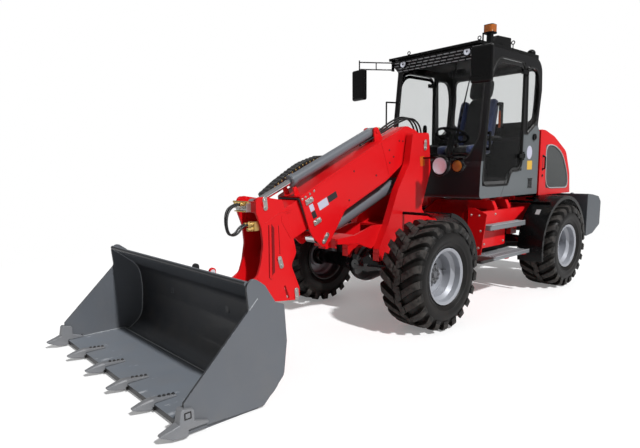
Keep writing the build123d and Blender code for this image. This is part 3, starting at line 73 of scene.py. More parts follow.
def at(x: float, y: float, z: float) -> np.ndarray:
    """A place in the frame, from one given ahead of the front axle."""
    return FRONT_AXLE + (x, y, z)


def srgb(red: int, green: int, blue: int) -> Color:
    """A linear colour from its eight-bit screen values, by the screen's power curve."""
    parts = np.array([red, green, blue]) / 255
    linear = np.where(parts <= 0.04045, parts / 12.92, ((parts + 0.055) / 1.055) ** 2.4)
    return (*map(float, linear), 1.0)


# ------------------------------------------------------------------ surfaces in numpy
@dataclass
class Shell:
    """Points, and the faces between them, of one piece of surface."""

    points: np.ndarray
    quads: np.ndarray
    triangles: np.ndarray

    def moved(self, offset: np.ndarray | Vec3) -> "Shell":
        """The same shell, shifted."""
        return Shell(self.points + offset, self.quads, self.triangles)

    def turned(self, axes: np.ndarray) -> "Shell":
        """The same shell with its own x, y and z laid along the rows of axes."""
        return Shell(self.points @ axes, self.quads, self.triangles)

    def mirrored(self) -> "Shell":
        """The shell on the machine's other side, with its faces turned back outwards."""
        return Shell(self.points * (1, -1, 1), self.quads[:, ::-1], self.triangles[:, ::-1])

    def both(self) -> "Shell":
        """The shell and its mirror image."""
        return join([self, self.mirrored()])


def join(shells: list[Shell]) -> Shell:
    """Several shells as one, each one's face numbers raised by the points before it."""
    starts = np.cumsum([0] + [len(s.points) for s in shells[:-1]])
    return Shell(
        np.concatenate([s.points for s in shells]),
        np.concatenate([s.quads + n for s, n in zip(shells, starts)]),
        np.concatenate([s.triangles + n for s, n in zip(shells, starts)]),
    )


def copies(shell: Shell, places: np.ndarray | list, axes: np.ndarray | None = None) -> Shell:
    """One shell repeated at many places.

    Args:
        shell: the piece to repeat.
        places: (k, 3) where each copy's origin goes.
        axes: (k, 3, 3) rows along which each copy's own x, y and z lie.

    Returns:
        All copies as one shell: point = own point times axes, plus place.
    """
    places = np.atleast_2d(places)
    count, size = len(places), len(shell.points)
    if axes is None:
        axes = np.broadcast_to(np.eye(3), (count, 3, 3))
    points = np.einsum("pi,kij->kpj", shell.points, axes) + places[:, None]
    lift = np.arange(count)[:, None, None] * size
    return Shell(
        points.reshape(-1, 3),
        (shell.quads[None] + lift).reshape(-1, 4),
        (shell.triangles[None] + lift).reshape(-1, 3),
    )


def stack(rings: np.ndarray, capped: bool = True, looped: bool = False) -> Shell:
    """Closed rings joined one to the next, counter-clockwise as seen from the last ring's side.

    Args:
        rings: (m, n, 3), m rings of n points.
        capped: closes the first and last ring with a fan from its middle.
        looped: joins the last ring to the first instead.

    Returns:
        The shell: face (i, j) joins points j and j+1 of rings i and i+1.
    """
    m, n, _ = rings.shape
    index = np.arange(m * n).reshape(m, n)
    low = index if looped else index[:-1]
    high = np.roll(index, -1, 0) if looped else index[1:]
    ahead = np.roll(low, -1, 1)
    quads = np.stack([low, ahead, np.roll(high, -1, 1), high], -1).reshape(-1, 4)
    points, triangles = rings.reshape(-1, 3), np.zeros((0, 3), int)
    if capped and not looped:
        points = np.concatenate([points, rings[[0, -1]].mean(1)])
        first, last = index[0], index[-1]
        triangles = np.concatenate([
            np.stack([np.roll(first, -1), first, np.full(n, m * n)], -1),
            np.stack([last, np.roll(last, -1), np.full(n, m * n + 1)], -1),
        ])
    return Shell(points, quads, triangles)


def circle(count: int, start: float = 0.0) -> np.ndarray:
    """(n, 2) points evenly round a unit circle."""
    angle = start + np.arange(count) * TURN / count
    return np.stack([np.cos(angle), np.sin(angle)], -1)


def lathe(profile: list[tuple[float, float]], sides: int, looped: bool = False) -> Shell:
    """A profile of (radius, height) carried round the z axis.

    Args:
        profile: corners from the bottom up on the outside.
        sides: flats round the axis.
        looped: the profile closes on itself, as a ring's does.

    Returns:
        The shell: point (i, j) = radius i times circle point j, at height i.
    """
    shape = np.array(profile, float)
    rim = circle(sides)
    rings = np.concatenate([
        shape[:, None, :1] * rim[None],
        np.broadcast_to(shape[:, None, 1:], (len(shape), sides, 1)),
    ], -1)
    return stack(rings, capped=not looped, looped=looped)


def bent_inwards(outline: np.ndarray, depth: float) -> np.ndarray:
    """A closed outline (n, 2), counter-clockwise, with every edge moved inward by depth."""
    ahead = np.roll(outline, -1, 0) - outline
    ahead /= np.linalg.norm(ahead, axis=1, keepdims=True)
    inward = np.stack([-ahead[:, 1], ahead[:, 0]], -1)
    both = inward + np.roll(inward, 1, 0)
    return outline + both * (2 * depth / (both**2).sum(1, keepdims=True))


def plate(outline: np.ndarray, thickness: float, chamfer: float = 0.001) -> Shell:
    """A flat plate in its own xy plane: the outline rises from z = 0, with chamfered edges.

    The rings are the outline moved in by the chamfer at both faces, and the outline itself
    one chamfer inside them.
    """
    inner = bent_inwards(outline, chamfer)
    levels = [(inner, 0), (outline, chamfer), (outline, thickness - chamfer), (inner, thickness)]
    rings = np.stack([np.column_stack([o, np.full(len(o), z)]) for o, z in levels])
    return stack(rings)


def rounded(width: float, height: float, radius: float, steps: int = 4) -> np.ndarray:
    """A rectangle's outline with round corners, counter-clockwise, centred on the origin."""
    quarter = np.linspace(0, math.pi / 2, steps + 1)
    arc = np.stack([np.cos(quarter), np.sin(quarter)], -1) * radius
    half = np.array([width / 2 - radius, height / 2 - radius])
    turns = [(arc + half), (arc[:, ::-1] * (-1, 1) + half * (-1, 1)), (-arc - half),
             (arc[:, ::-1] * (1, -1) + half * (1, -1))]
    return np.concatenate(turns)


def tube(path: np.ndarray | list, radius: float | np.ndarray, sides: int,
         upright: Vec3 = (0, 0, 1)) -> Shell:
    """A round bar along a path.

    Args:
        path: (m, 3) points.
        radius: one radius, or one for each point.
        sides: flats round the bar.
        upright: a direction that the path never runs along.

    Returns:
        The shell: at each point a circle square to the path's direction there.
    """
    along = np.gradient(np.asarray(path, float), axis=0)
    along /= np.linalg.norm(along, axis=1, keepdims=True)
    across = np.cross(along, upright)
    across /= np.linalg.norm(across, axis=1, keepdims=True)
    other = np.cross(along, across)
    rim = circle(sides)
    size = np.broadcast_to(radius, len(path))[:, None, None]
    rings = (rim[None, :, :1] * across[:, None] + rim[None, :, 1:] * other[:, None]) * size
    return stack(rings + np.asarray(path)[:, None])


def arc_path(corners: list[Vec3], radius: float, steps: int = 6) -> np.ndarray:
    """Straight runs through corners, each inner corner rounded by a curve that starts and ends
    one radius from it: point = (1-t)^2 start + 2t(1-t) corner + t^2 end."""
    points = np.array(corners, float)
    t = np.linspace(0, 1, steps)[:, None]
    path = [points[:1]]
    for before, here, after in zip(points[:-2], points[1:-1], points[2:]):
        back, on = before - here, after - here
        cut = min(radius, 0.48 * np.linalg.norm(back), 0.48 * np.linalg.norm(on))
        start = here + back / np.linalg.norm(back) * cut
        end = here + on / np.linalg.norm(on) * cut
        path.append((1 - t) ** 2 * start + 2 * t * (1 - t) * here + t**2 * end)
    path.append(points[-1:])
    return np.concatenate(path)


def facing(normal: Vec3, up: Vec3 = (0, 0, 1)) -> np.ndarray:
    """Rows for a piece whose own z looks along normal, its own y as near up as it can be."""
    n = np.array(normal, float) / np.linalg.norm(normal)
    x = np.cross(up, n)
    x /= np.linalg.norm(x)
    return np.stack([x, np.cross(n, x), n])


OUT = facing((0, 1, 0))                # a piece on the machine's left side
AHEAD = facing((1, 0, 0))              # a piece on a front face


def bolt(size: float) -> Shell:
    """A hexagon head on its washer, size across its corners, rising from z = 0."""
    washer = lathe([(size * 0.78, 0), (size * 0.78, size * 0.1)], 12)
    hexagon = circle(6) * size * 0.58
    levels = [(1.0, 0.1), (1.0, 0.48), (0.82, 0.58)]
    rings = np.stack([np.column_stack([hexagon * k, np.full(6, size * z)]) for k, z in levels])
    return join([washer, stack(rings)])


class Shading(Enum):
    """How a piece's faces meet in the light."""

    FLAT = "flat"
    SMOOTH = "smooth"
    BY_ANGLE = "by angle"


def put(name: str, shell: Shell, body: str | None, finish: "Finish",
        shading: Shading = Shading.BY_ANGLE,
        parts: dict[str, np.ndarray] | None = None) -> bpy.types.Object:
    """Makes a piece from a shell, in place in the frame, and lets it ride on its body.

    Args:
        name: the piece's name.
        shell: its surface, in frame coordinates.
        body: the CAD body that carries it, or None where no body carries it.
        finish: what it is painted with.
        shading: flat, smooth, or smooth up to 35 degrees.
        parts: named values, one for each point, that its material reads.

    Returns:
        The object.
    """
    mesh = bpy.data.meshes.new(name)
    mesh.from_pydata(shell.points.tolist(), [], shell.quads.tolist() + shell.triangles.tolist())
    for key, values in (parts or {}).items():
        layer = mesh.attributes.new(key, "FLOAT", "POINT")
        layer.data.foreach_set("value", values.astype(np.float32))
    smooth = np.full(len(mesh.polygons), shading is not Shading.FLAT)
    mesh.polygons.foreach_set("use_smooth", smooth)
    if shading is Shading.BY_ANGLE:
        mesh.set_sharp_from_angle(angle=SHARP)
    mesh.validate()
    piece = bpy.data.objects.new(name, mesh)
    bpy.context.scene.collection.objects.link(piece)
    piece.data.materials.append(finish.material())
    if body:
        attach(piece, body)
    LOG.info("%s: %d points on %s", name, len(shell.points), body)
    return piece


# ------------------------------------------------------------------ shader groups
class Net:
    """A node tree and the few calls that fill it."""

    def __init__(self, tree: bpy.types.NodeTree) -> None:
        """Keeps the tree."""
        self.tree = tree

    def feed(self, node: bpy.types.Node, sockets: dict) -> bpy.types.Node:
        """Fills a node's inputs: each takes a value, or another node's output."""
        for key, value in sockets.items():
            if isinstance(value, Socket):
                self.tree.links.new(value, node.inputs[key])
            else:
                node.inputs[key].default_value = value
        return node

    def add(self, kind: str, sockets: dict | None = None, **settings: object) -> bpy.types.Node:
        """A node with its settings and its inputs."""
        node = self.tree.nodes.new("ShaderNode" + kind)
        for key, value in settings.items():
            setattr(node, key, value)
        return self.feed(node, sockets or {})

    def shared(self, name: str, sockets: dict) -> bpy.types.Node:
        """A shared shader group with its own values."""
        return self.add("Group", sockets, node_tree=Effect.get(name))

    def math(self, operation: str, a: object, b: object = 0.0, clamp: bool = False) -> Socket:
        """The result of one sum."""
        return self.add("Math", {0: a, 1: b}, operation=operation, use_clamp=clamp).outputs[0]

    def rest(self, share: object, clamp: bool = False) -> Socket:
        """What a share leaves of 1."""
        return self.math("SUBTRACT", 1.0, share, clamp)

    def vector(self, operation: str, a: object, b: object = (0, 0, 0)) -> bpy.types.NodeOutputs:
        """One sum of vectors: output 0 is its vector, Value its number."""
        return self.add("VectorMath", {0: a, 1: b}, operation=operation).outputs

    def split(self, vector: object) -> bpy.types.NodeOutputs:
        """A vector's x, y and z."""
        return self.add("SeparateXYZ", {0: vector}).outputs

    def place(self) -> Socket:
        """The place on the piece, in its own coordinates."""
        return self.add("TexCoord").outputs["Object"]

    def normal(self) -> Socket:
        """The face's own normal."""
        return self.add("NewGeometry").outputs["Normal"]

    def seen(self) -> Socket:
        """1 where the camera looks, straight or through glass."""
        path = self.add("LightPath").outputs
        return self.math("ADD", path["Is Camera Ray"], path["Is Transmission Ray"], True)

    def band(self, value: object, low: float, high: float) -> Socket:
        """0 below low, 1 above high and a smooth rise between."""
        return self.add("MapRange", {"Value": value, "From Min": low, "From Max": high},
                        interpolation_type="SMOOTHSTEP", clamp=True).outputs[0]

    def mix(self, share: object, a: object, b: object) -> Socket:
        """Colour a where share is 0, colour b where it is 1."""
        node = self.add("Mix", {0: share, 6: a, 7: b}, data_type="RGBA", clamp_factor=True)
        return node.outputs[2]

    def noise(self, scale: object, detail: float = 3.0, stretch: Vec3 = (1, 1, 1),
              roughness: float = 0.55) -> Socket:
        """Cloudy noise on the piece's own coordinates, in lumps of 1/scale metres."""
        spot = self.place()
        if stretch != (1, 1, 1):
            spot = self.add("Mapping", {"Vector": spot, "Scale": stretch}).outputs[0]
        return self.add("TexNoise", {"Vector": spot, "Scale": scale, "Detail": detail,
                                     "Roughness": roughness}).outputs["Fac"]


class Effect:
    """A shader group that several finishes share."""

    made: dict[str, bpy.types.NodeTree] = {}

    @classmethod
    def group(cls, name: str, inputs: dict[str, tuple[str, object]],
              outputs: dict[str, str]) -> tuple[Net, bpy.types.NodeOutputs, bpy.types.Node]:
        """A new group with its named sockets.

        Args:
            name: the group's name.
            inputs: name to (socket type, first value).
            outputs: name to socket type.

        Returns:
            Its net, what it is given and its output node.
        """
        tree = bpy.data.node_groups.new(name, "ShaderNodeTree")
        new_socket = tree.interface.new_socket
        for key, (kind, value) in inputs.items():
            socket = new_socket(name=key, in_out="INPUT", socket_type="NodeSocket" + kind)
            socket.default_value = value
        for key, kind in outputs.items():
            new_socket(name=key, in_out="OUTPUT", socket_type="NodeSocket" + kind)
        given = tree.nodes.new("NodeGroupInput").outputs
        return Net(tree), given, tree.nodes.new("NodeGroupOutput")

    @classmethod
    def get(cls, name: str) -> bpy.types.NodeTree:
        """The group of that name, built the first time."""
        if name not in cls.made:
            cls.made[name] = getattr(cls, name)()
        return cls.made[name]

    @classmethod
    def worn_edges(cls) -> bpy.types.NodeTree:
        """Where corners have rubbed: how far the normal, softened over Width, leans from the
        face's own, thinned out by noise. Softened is that normal."""
        net, given, out = cls.group(
            "worn_edges", {"Width": ("Float", 0.004), "Amount": ("Float", 0.5)},
            {"Mask": "Float", "Softened": "Vector"})
        soft = net.add("Bevel", {"Radius": given["Width"]}, samples=4).outputs[0]
        lean = net.rest(net.vector("DOT_PRODUCT", soft, net.normal())["Value"])
        spots = net.noise(38.0, 5.0)
        rubbed = net.math("MULTIPLY", net.band(lean, 0.02, 0.16), net.band(spots, 0.46, 0.64))
        mask = net.math("MULTIPLY", rubbed, given["Amount"], True)
        net.feed(out, {"Mask": mask, "Softened": soft})
        return net.tree

    @classmethod
    def dust(cls) -> bpy.types.NodeTree:
        """Dust and dried mud: thickest near the ground, on faces that look up and in corners."""
        net, given, out = cls.group(
            "dust", {"Amount": ("Float", 0.3), "Reach": ("Float", 0.9)}, {"Mask": "Float"})
        low = net.rest(net.math("DIVIDE", net.split(net.place())[2], given["Reach"], True), True)
        up = net.band(net.split(net.normal())[2], 0.3, 1.0)
        corner = net.rest(net.add("AmbientOcclusion", {"Distance": 0.08}, samples=4).outputs["AO"])
        cloud = net.band(net.noise(6.0, 6.0), 0.35, 0.75)
        where = net.math("ADD", net.math("MULTIPLY", low, 0.7), net.math("MULTIPLY", up, 0.25))
        where = net.math("ADD", net.math("MULTIPLY", where, cloud),
                         net.math("MULTIPLY", corner, 0.35))
        net.feed(out, {"Mask": net.math("MULTIPLY", where, given["Amount"], True)})
        return net.tree

    @classmethod
    def grain(cls) -> bpy.types.NodeTree:
        """Small bumps on a normal: fine noise in lumps of 1/Scale metres, Height metres deep."""
        net, given, out = cls.group(
            "grain", {"Scale": ("Float", 400.0), "Height": ("Float", 0.0002),
                      "Normal": ("Vector", (0, 0, 0))}, {"Normal": "Vector"})
        bump = net.add("Bump", {"Height": net.noise(given["Scale"], 2.0),
                                "Distance": given["Height"], "Normal": given["Normal"]})
        net.feed(out, {"Normal": bump.outputs[0]})
        return net.tree

    @classmethod
    def tone(cls) -> bpy.types.NodeTree:
        """A colour that drifts a little lighter and darker over hand-sized patches. Value is
        the drift's noise."""
        net, given, out = cls.group(
            "tone", {"Color": ("Color", (0.5, 0.5, 0.5, 1)), "Spread": ("Float", 0.1)},
            {"Color": "Color", "Value": "Float"})
        cloud = net.noise(3.2, 5.0)
        swing = net.math("MULTIPLY", net.math("SUBTRACT", cloud, 0.5), given["Spread"])
        scale = net.math("ADD", 1.0, net.math("MULTIPLY", swing, 2.0))
        shade = net.add("VectorMath", {0: given["Color"], "Scale": scale}, operation="SCALE")
        net.feed(out, {"Color": shade.outputs[0], "Value": cloud})
        return net.tree


# ------------------------------------------------------------------ finishes
DUST_COLOR = srgb(142, 128, 110)
DUST_REACH = 0.9                       # height at which splashed dust ends
WHITE = (1, 1, 1, 1)
NO_COLOR = (0, 0, 0, 1)


@dataclass(frozen=True)
class Finish:
    """What a surface is made of or coated with. Each kind fills a Principled shader its own
    way."""

    name: str

    def material(self) -> bpy.types.Material:
        """The finish as a material, built the first time that a piece asks for it.

        Its title ends in _finish, because the frame's own materials carry the slots' names."""
        title = f"{self.name}_finish"
        found = bpy.data.materials.get(title)
        if found is None:
            found = bpy.data.materials.new(title)
            found.use_nodes = True
            found.node_tree.nodes.clear()
            net = Net(found.node_tree)
            surface = self.fill(net, net.add("BsdfPrincipled"))
            net.add("OutputMaterial", {0: surface})
        return found

    def fill(self, net: Net, shader: bpy.types.Node) -> Socket:
        """Fills the shader and returns the socket that the surface shows."""
        return shader.outputs[0]


@dataclass(frozen=True)
class Zone:
    """A part of a surface with its own colour: a block, or a drum that lies across the
    machine."""

    middle: Vec3
    half: Vec3
    color: Color
    drum: bool = False
    patchy: bool = False               # only in scuffed patches

    def mask(self, net: Net) -> Socket:
        """1 inside: the largest of the distances from the middle along x, y and z, each over its
        half size, is under 1. A drum takes x and z together, as their length."""
        away = net.vector("SUBTRACT", net.place(), self.middle)[0]
        share = net.vector("DIVIDE", away, self.half)[0]
        x, y, z = net.split(net.vector("ABSOLUTE", share)[0])
        if self.drum:
            flat = net.vector("MULTIPLY", share, (1, 0, 1))[0]
            x = net.vector("LENGTH", flat)["Value"]
        largest = net.math("MAXIMUM", net.math("MAXIMUM", x, y), z)
        inside = net.rest(net.band(largest, 0.985, 1.015))
        if self.patchy:
            scuff = net.band(net.noise(7.0, 7.0, (0.7, 1.6, 1.0), 0.7), 0.585, 0.66)
            inside = net.math("MULTIPLY", inside, net.math("MULTIPLY", scuff, 0.8))
        return inside


@dataclass(frozen=True)
class Coated(Finish):
    """Paint, powder coat, moulded plastic or a bare casting: a colour with grain, worn corners
    and dust."""

    color: Color = (0.5, 0.5, 0.5, 1.0)
    roughness: float = 0.4
    coat: float = 0.0
    metallic: float = 0.0
    spread: float = 0.08
    grain: tuple[float, float] = (300.0, 0.0002)
    edge: float = 0.004
    wear: float = 0.35
    bare: Color = srgb(120, 118, 115)
    dust: float = 0.3
    specular: float = 0.5
    zones: tuple[Zone, ...] = ()
    ahead: Color | None = None         # painted shade: a darker paint on the faces that look ahead, away from the key lamp

    def paint(self, net: Net) -> object:
        """The colour before wear: the finish's own, each zone's inside it, and painted shade on the
        faces that look ahead.
        """
        color = self.color
        for zone in self.zones:
            color = net.mix(zone.mask(net), color, zone.color)
        # painted shade: faces whose normal leans ahead take the darker ahead paint
        if self.ahead:
            forward = net.band(net.split(net.normal())[0], 0.35, 0.85)
            color = net.mix(forward, color, self.ahead)
        return color

    def fill(self, net: Net, shader: bpy.types.Node) -> Socket:
        """Colour = tone, then bare metal on worn corners, then dust; dust is rough."""
        tone = net.shared("tone", {"Color": self.paint(net), "Spread": self.spread}).outputs
        worn = net.shared("worn_edges", {"Width": self.edge, "Amount": self.wear}).outputs
        dust = net.shared("dust", {"Amount": self.dust, "Reach": DUST_REACH}).outputs["Mask"]
        scale, height = self.grain
        bumps = net.shared("grain", {"Scale": scale, "Height": height,
                                     "Normal": worn["Softened"]})
        color = net.mix(worn["Mask"], tone["Color"], self.bare)
        drift = 0.12                                    # of the roughness, over its patches
        rough = net.math("ADD", self.roughness - drift / 2,
                         net.math("MULTIPLY", tone["Value"], drift))
        rough = net.math("ADD", rough, net.math("MULTIPLY", dust, 0.5), True)
        net.feed(shader, {
            "Base Color": net.mix(dust, color, DUST_COLOR), "Roughness": rough,
            "Normal": bumps.outputs["Normal"], "Metallic": self.metallic,
            "Specular IOR Level": self.specular, "Coat Weight": self.coat,
            "Coat Roughness": 0.08})
        return shader.outputs[0]


@dataclass(frozen=True)
class Lined(Coated):
    """Paint outside and dark trim inside: a face is inside where its normal looks towards the
    middle."""

    middle: Vec3 = (0, 0, 0)
    lining: Color = srgb(13, 13, 14)

    def paint(self, net: Net) -> object:
        """The lining where normal times (place - middle) is under zero."""
        away = net.vector("SUBTRACT", net.place(), self.middle)[0]
        lean = net.vector("DOT_PRODUCT", away, net.normal())["Value"]
        return net.mix(net.band(lean, -0.02, 0.02), self.lining, super().paint(net))


@dataclass(frozen=True)
class Plated(Finish):
    """Bare or plated metal with fine turning or rolling marks."""

    color: Color = (0.7, 0.7, 0.7, 1.0)
    roughness: float = 0.25
    stretch: Vec3 = (1, 1, 1)
    marks: float = 0.1
    dust: float = 0.1

    def fill(self, net: Net, shader: bpy.types.Node) -> Socket:
        """Roughness follows the marks; dust dulls the metal and hides it."""
        worn = net.shared("worn_edges", {"Width": 0.002, "Amount": 0.0})
        dust = net.shared("dust", {"Amount": self.dust, "Reach": DUST_REACH}).outputs["Mask"]
        lines = net.noise(60.0, 4.0, self.stretch)
        rough = net.math("ADD", self.roughness, net.math("MULTIPLY", lines, self.marks))
        net.feed(shader, {
            "Roughness": net.math("ADD", rough, dust, True), "Metallic": net.rest(dust, True),
            "Base Color": net.mix(dust, self.color, DUST_COLOR),
            "Normal": worn.outputs["Softened"]})
        return shader.outputs[0]


@dataclass(frozen=True)
class Rubber(Finish):
    """Tyre rubber: black and slightly shiny walls, with the bars' tops scuffed grey-brown."""

    color: Color = srgb(19, 18, 18)
    scuffed: Color = srgb(60, 57, 55)
    # painted shade: the rubber between the bars
    painted_groove_shade: Color = srgb(7, 7, 7)

    def fill(self, net: Net, shader: bpy.types.Node) -> Socket:
        """The tread value is 0 between the bars, 0.3 on the walls, 0.5 on the bars' sides and 1 on
        their tops; cloudy noise breaks the scuff up. Between the bars the rubber takes a darker
        colour, as painted shade."""
        tread = net.add("Attribute", attribute_name="tread").outputs["Fac"]
        cloud = net.band(net.noise(26.0, 6.0), 0.3, 0.62)
        top = net.math("MULTIPLY", net.band(tread, 0.86, 0.99), cloud)
        color = net.mix(net.band(tread, 0.04, 0.26), self.painted_groove_shade, self.color)
        worn = net.shared("worn_edges", {"Width": 0.003, "Amount": 0.5}).outputs
        dust = net.shared("dust", {"Amount": 0.05, "Reach": 1.2}).outputs["Mask"]
        for share, over in ((top, self.scuffed), (worn["Mask"], self.scuffed), (dust, DUST_COLOR)):
            color = net.mix(share, color, over)
        bumps = net.shared("grain", {"Scale": 260.0, "Height": 0.0006,
                                     "Normal": worn["Softened"]})
        net.feed(shader, {
            "Base Color": color, "Normal": bumps.outputs["Normal"], "Specular IOR Level": 0.2,
            "Roughness": net.math("ADD", 0.46, net.math("MULTIPLY", top, 0.35), True)})
        return shader.outputs[0]


@dataclass(frozen=True)
class Pane(Finish):
    """Safety glass, faintly grey, with a thin cloudy film on it."""

    color: Color = (0.79, 0.80, 0.80, 1.0)
    shade: float = 0.62
    index: float = 1.10               # low, as a coated pane's: it mirrors little of the floor

    def fill(self, net: Net, shader: bpy.types.Node) -> Socket:
        """Clear glass; light that only casts shadows passes straight through, dimmed by
        shade."""
        film = net.math("MULTIPLY", net.band(net.noise(5.0, 5.0), 0.4, 0.8), 0.03)
        net.feed(shader, {"Base Color": net.mix(film, self.color, srgb(200, 198, 190)),
                          "Roughness": 0.0, "Transmission Weight": 1.0, "IOR": self.index})
        clear = net.add("BsdfTransparent", {"Color": (self.shade, self.shade, self.shade, 1.0)})
        return net.add("MixShader", {0: net.add("LightPath").outputs["Is Shadow Ray"],
                                     1: shader.outputs[0], 2: clear.outputs[0]}).outputs[0]


@dataclass(frozen=True)
class Lens(Finish):
    """A lamp's ribbed plastic or glass cover, with a faint painted glow that stands for light from
    its reflector.
    """

    color: Color = srgb(235, 120, 20)
    ribs: float = 260.0
    # strength of the painted glow
    glow: float = 0.15
    clearness: float = 0.35

    def fill(self, net: Net, shader: bpy.types.Node) -> Socket:
        """Ribs are a sine wave across the cover, used as height."""
        wave = net.add("TexWave", {"Vector": net.place(), "Scale": self.ribs, "Distortion": 0.0},
                       bands_direction="Z")
        bump = net.add("Bump", {"Height": wave.outputs["Fac"], "Distance": 0.0012})
        tone = net.shared("tone", {"Color": self.color, "Spread": 0.25})
        # painted glow: the cover emits a little of its own colour, though no lamp is lit
        net.feed(shader, {
            "Base Color": tone.outputs["Color"], "Normal": bump.outputs[0], "Roughness": 0.12,
            "Transmission Weight": self.clearness, "Emission Color": self.color,
            "Emission Strength": self.glow})
        return shader.outputs[0]


@dataclass(frozen=True)
class Cloth(Finish):
    """Woven seat cloth: two crossed sets of threads with a soft sheen."""

    color: Color = srgb(40, 52, 92)
    thread: float = 420.0              # to a metre

    def fill(self, net: Net, shader: bpy.types.Node) -> Socket:
        """Height and shade are the product of two sine waves, one along y and one along z."""
        threads = {"Vector": net.place(), "Scale": self.thread / TURN, "Distortion": 0.4}
        waves = [net.add("TexWave", threads, bands_direction=way).outputs["Fac"] for way in "YZ"]
        weave = net.math("MULTIPLY", *waves)
        tone = net.shared("tone", {"Color": self.color, "Spread": 0.3}).outputs["Color"]
        bump = net.add("Bump", {"Height": weave, "Distance": 0.0008})
        net.feed(shader, {"Base Color": net.mix(weave, net.mix(0.6, tone, NO_COLOR), tone),
                          "Normal": bump.outputs[0], "Roughness": 0.9, "Sheen Weight": 0.4})
        return shader.outputs[0]


COUPLER = np.array(JOINTS["bucket_tilt"]["pos_m"])
WHEELBASE = 2.43
WHEEL_RADIUS = 0.475                   # and the height of both axles
TREADS = (0.482, 0.795)                # heights of the lower and the upper step's tread


def place(x: float, y: float, z: float) -> Vec3:
    """`at` as plain numbers, for a zone."""
    return tuple(map(float, at(x, y, z)))


def by_coupler(x: float, y: float, z: float) -> Vec3:
    """A place given from the bucket's pivot, as plain numbers."""
    return tuple(map(float, COUPLER + (x, y, z)))


RED = Coated("red_enamel", srgb(210, 15, 22), 0.36, 0.12, grain=(140.0, 0.0002), wear=0.3,
             bare=srgb(110, 30, 30), dust=0.06, spread=0.05, specular=0.18)
# painted shade: the first zone paints the coupler's right lug, on the side away from the key lamp,
# near black
COUPLER_RED = replace(RED, name="coupler_red", zones=(
    Zone(by_coupler(0.198, -0.122, 0.231), (0.06, 0.02, 0.078), srgb(24, 25, 28)),
    Zone(by_coupler(0.198, 0.122, 0.268), (0.021, 0.03, 0.021), srgb(196, 196, 202), True)))
# painted shade: a dark red for the shaded sides of the head's folds
SHADE_RED = replace(RED, name="shade_red", color=srgb(120, 10, 16), wear=0.0)
BLACK = Coated("black_enamel", srgb(14, 14, 15), 0.3, 0.1, dust=0.06, specular=0.2)
GLOSS_BLACK = Coated("axle_black", srgb(8, 8, 10), 0.2, 0.7, wear=0.1, dust=0.02, specular=0.2)
CYLINDER_GREY = Coated("cylinder_grey", srgb(98, 102, 108), 0.36, 0.3, wear=0.25, dust=0.12)
# painted shade and light: the faces that look ahead, the inner back, are painted near black as
# shade; the first zone paints the edge plate lighter as the light on its upward face; the patchy
# zone is scuffed wear
BUCKET_GREY = Coated(
    "bucket_grey", srgb(90, 94, 100), 0.46, 0.1, wear=0.7, grain=(120.0, 0.0004),
    bare=srgb(146, 150, 155), dust=0.1, spread=0.1, edge=0.005, ahead=srgb(20, 23, 29), zones=(
        Zone(by_coupler(0.70, 0, -0.352), (0.235, 0.985, 0.0035), srgb(112, 118, 126)),
        Zone(by_coupler(0.83, 0, -0.353), (0.10, 0.95, 0.006), srgb(176, 180, 186), patchy=True),))
TOOTH_GREY = replace(BUCKET_GREY, name="tooth_grey", color=srgb(116, 118, 122), ahead=None,
                     wear=1.0, zones=())
STEP_GREY = Coated("step_grey", srgb(112, 116, 120), 0.5, 0.1, wear=0.5, dust=0.2, zones=(
    *(Zone(place(-1.5, 0, z + MM), (0.8, 0.80, 0.004), srgb(58, 60, 63)) for z in TREADS),
    Zone(place(-0.93, 0, 0.475), (0.13, 0.80, 0.03), srgb(18, 18, 19))))
GRIP_GREY = Coated("grip_grey", srgb(150, 153, 158), 0.45, 0.1, wear=0.5, dust=0.1)
# painted shade: on the cab tub and the frame the faces that look ahead are painted near black
# (ahead), as the shade that falls on them
CAB_GREY = Lined("cab_grey", srgb(94, 99, 102), 0.44, 0.15, wear=0.2, dust=0.1, specular=0.3,
                 middle=place(-1.70, 0, 1.85), ahead=srgb(24, 22, 26))
REAR_PANEL = Zone(place(-2.02, 0, 1.32), (0.42, 0.7, 0.42), CAB_GREY.color)
FRAME_BLACK = replace(CAB_GREY, name="frame_black", color=srgb(17, 17, 19), wear=0.3,
                      specular=0.2, bare=srgb(60, 62, 66), ahead=srgb(17, 16, 19),
                      zones=(REAR_PANEL,))
HUBS = tuple(Zone(place(x, y, WHEEL_RADIUS), (0.084, 0.052, 0.084), srgb(84, 86, 90), True)
             for x in (0.0, -WHEELBASE) for y in (-0.745, 0.745))
#: the rims' inner sides, painted near black as painted shade
PAINTED_RIM_SHADE = Zone(place(-1.2, 0, WHEEL_RADIUS), (1.8, 0.655, 0.6), srgb(26, 26, 28))
SILVER = Coated("rim_silver", srgb(158, 161, 168), 0.38, 0.25, metallic=0.25, wear=0.25, dust=0.14,
                zones=(*HUBS, PAINTED_RIM_SHADE))
TAIL_LAMPS = tuple(Zone(place(-3.475, y, 0.865), (0.012, 0.09, 0.035), srgb(150, 12, 12))
                   for y in (-0.70, 0.70))
WEIGHT_GREY = Coated("weight_grey", srgb(70, 75, 81), 0.5, 0.1, grain=(70.0, 0.0012), wear=0.4,
                     dust=0.12, edge=0.006, zones=TAIL_LAMPS)
HUB_GREY = Coated("hub_grey", srgb(88, 90, 94), 0.45, 0.2, wear=0.4, dust=0.15)
PLASTIC = Coated("black_plastic", srgb(10, 10, 11), 0.27, 0.0, grain=(600.0, 0.0002), wear=0.12,
                 bare=srgb(44, 44, 46), dust=0.01, specular=0.2)
TRIM = Coated("inner_trim", srgb(13, 13, 15), 0.6, 0.0, grain=(500.0, 0.0004), wear=0.1,
              bare=srgb(40, 40, 42), dust=0.0, specular=0.1)
GRILLE_GREY = Coated("grille_grey", srgb(66, 69, 70), 0.6, 0.0, grain=(500.0, 0.0004), wear=0.1,
                     dust=0.1)
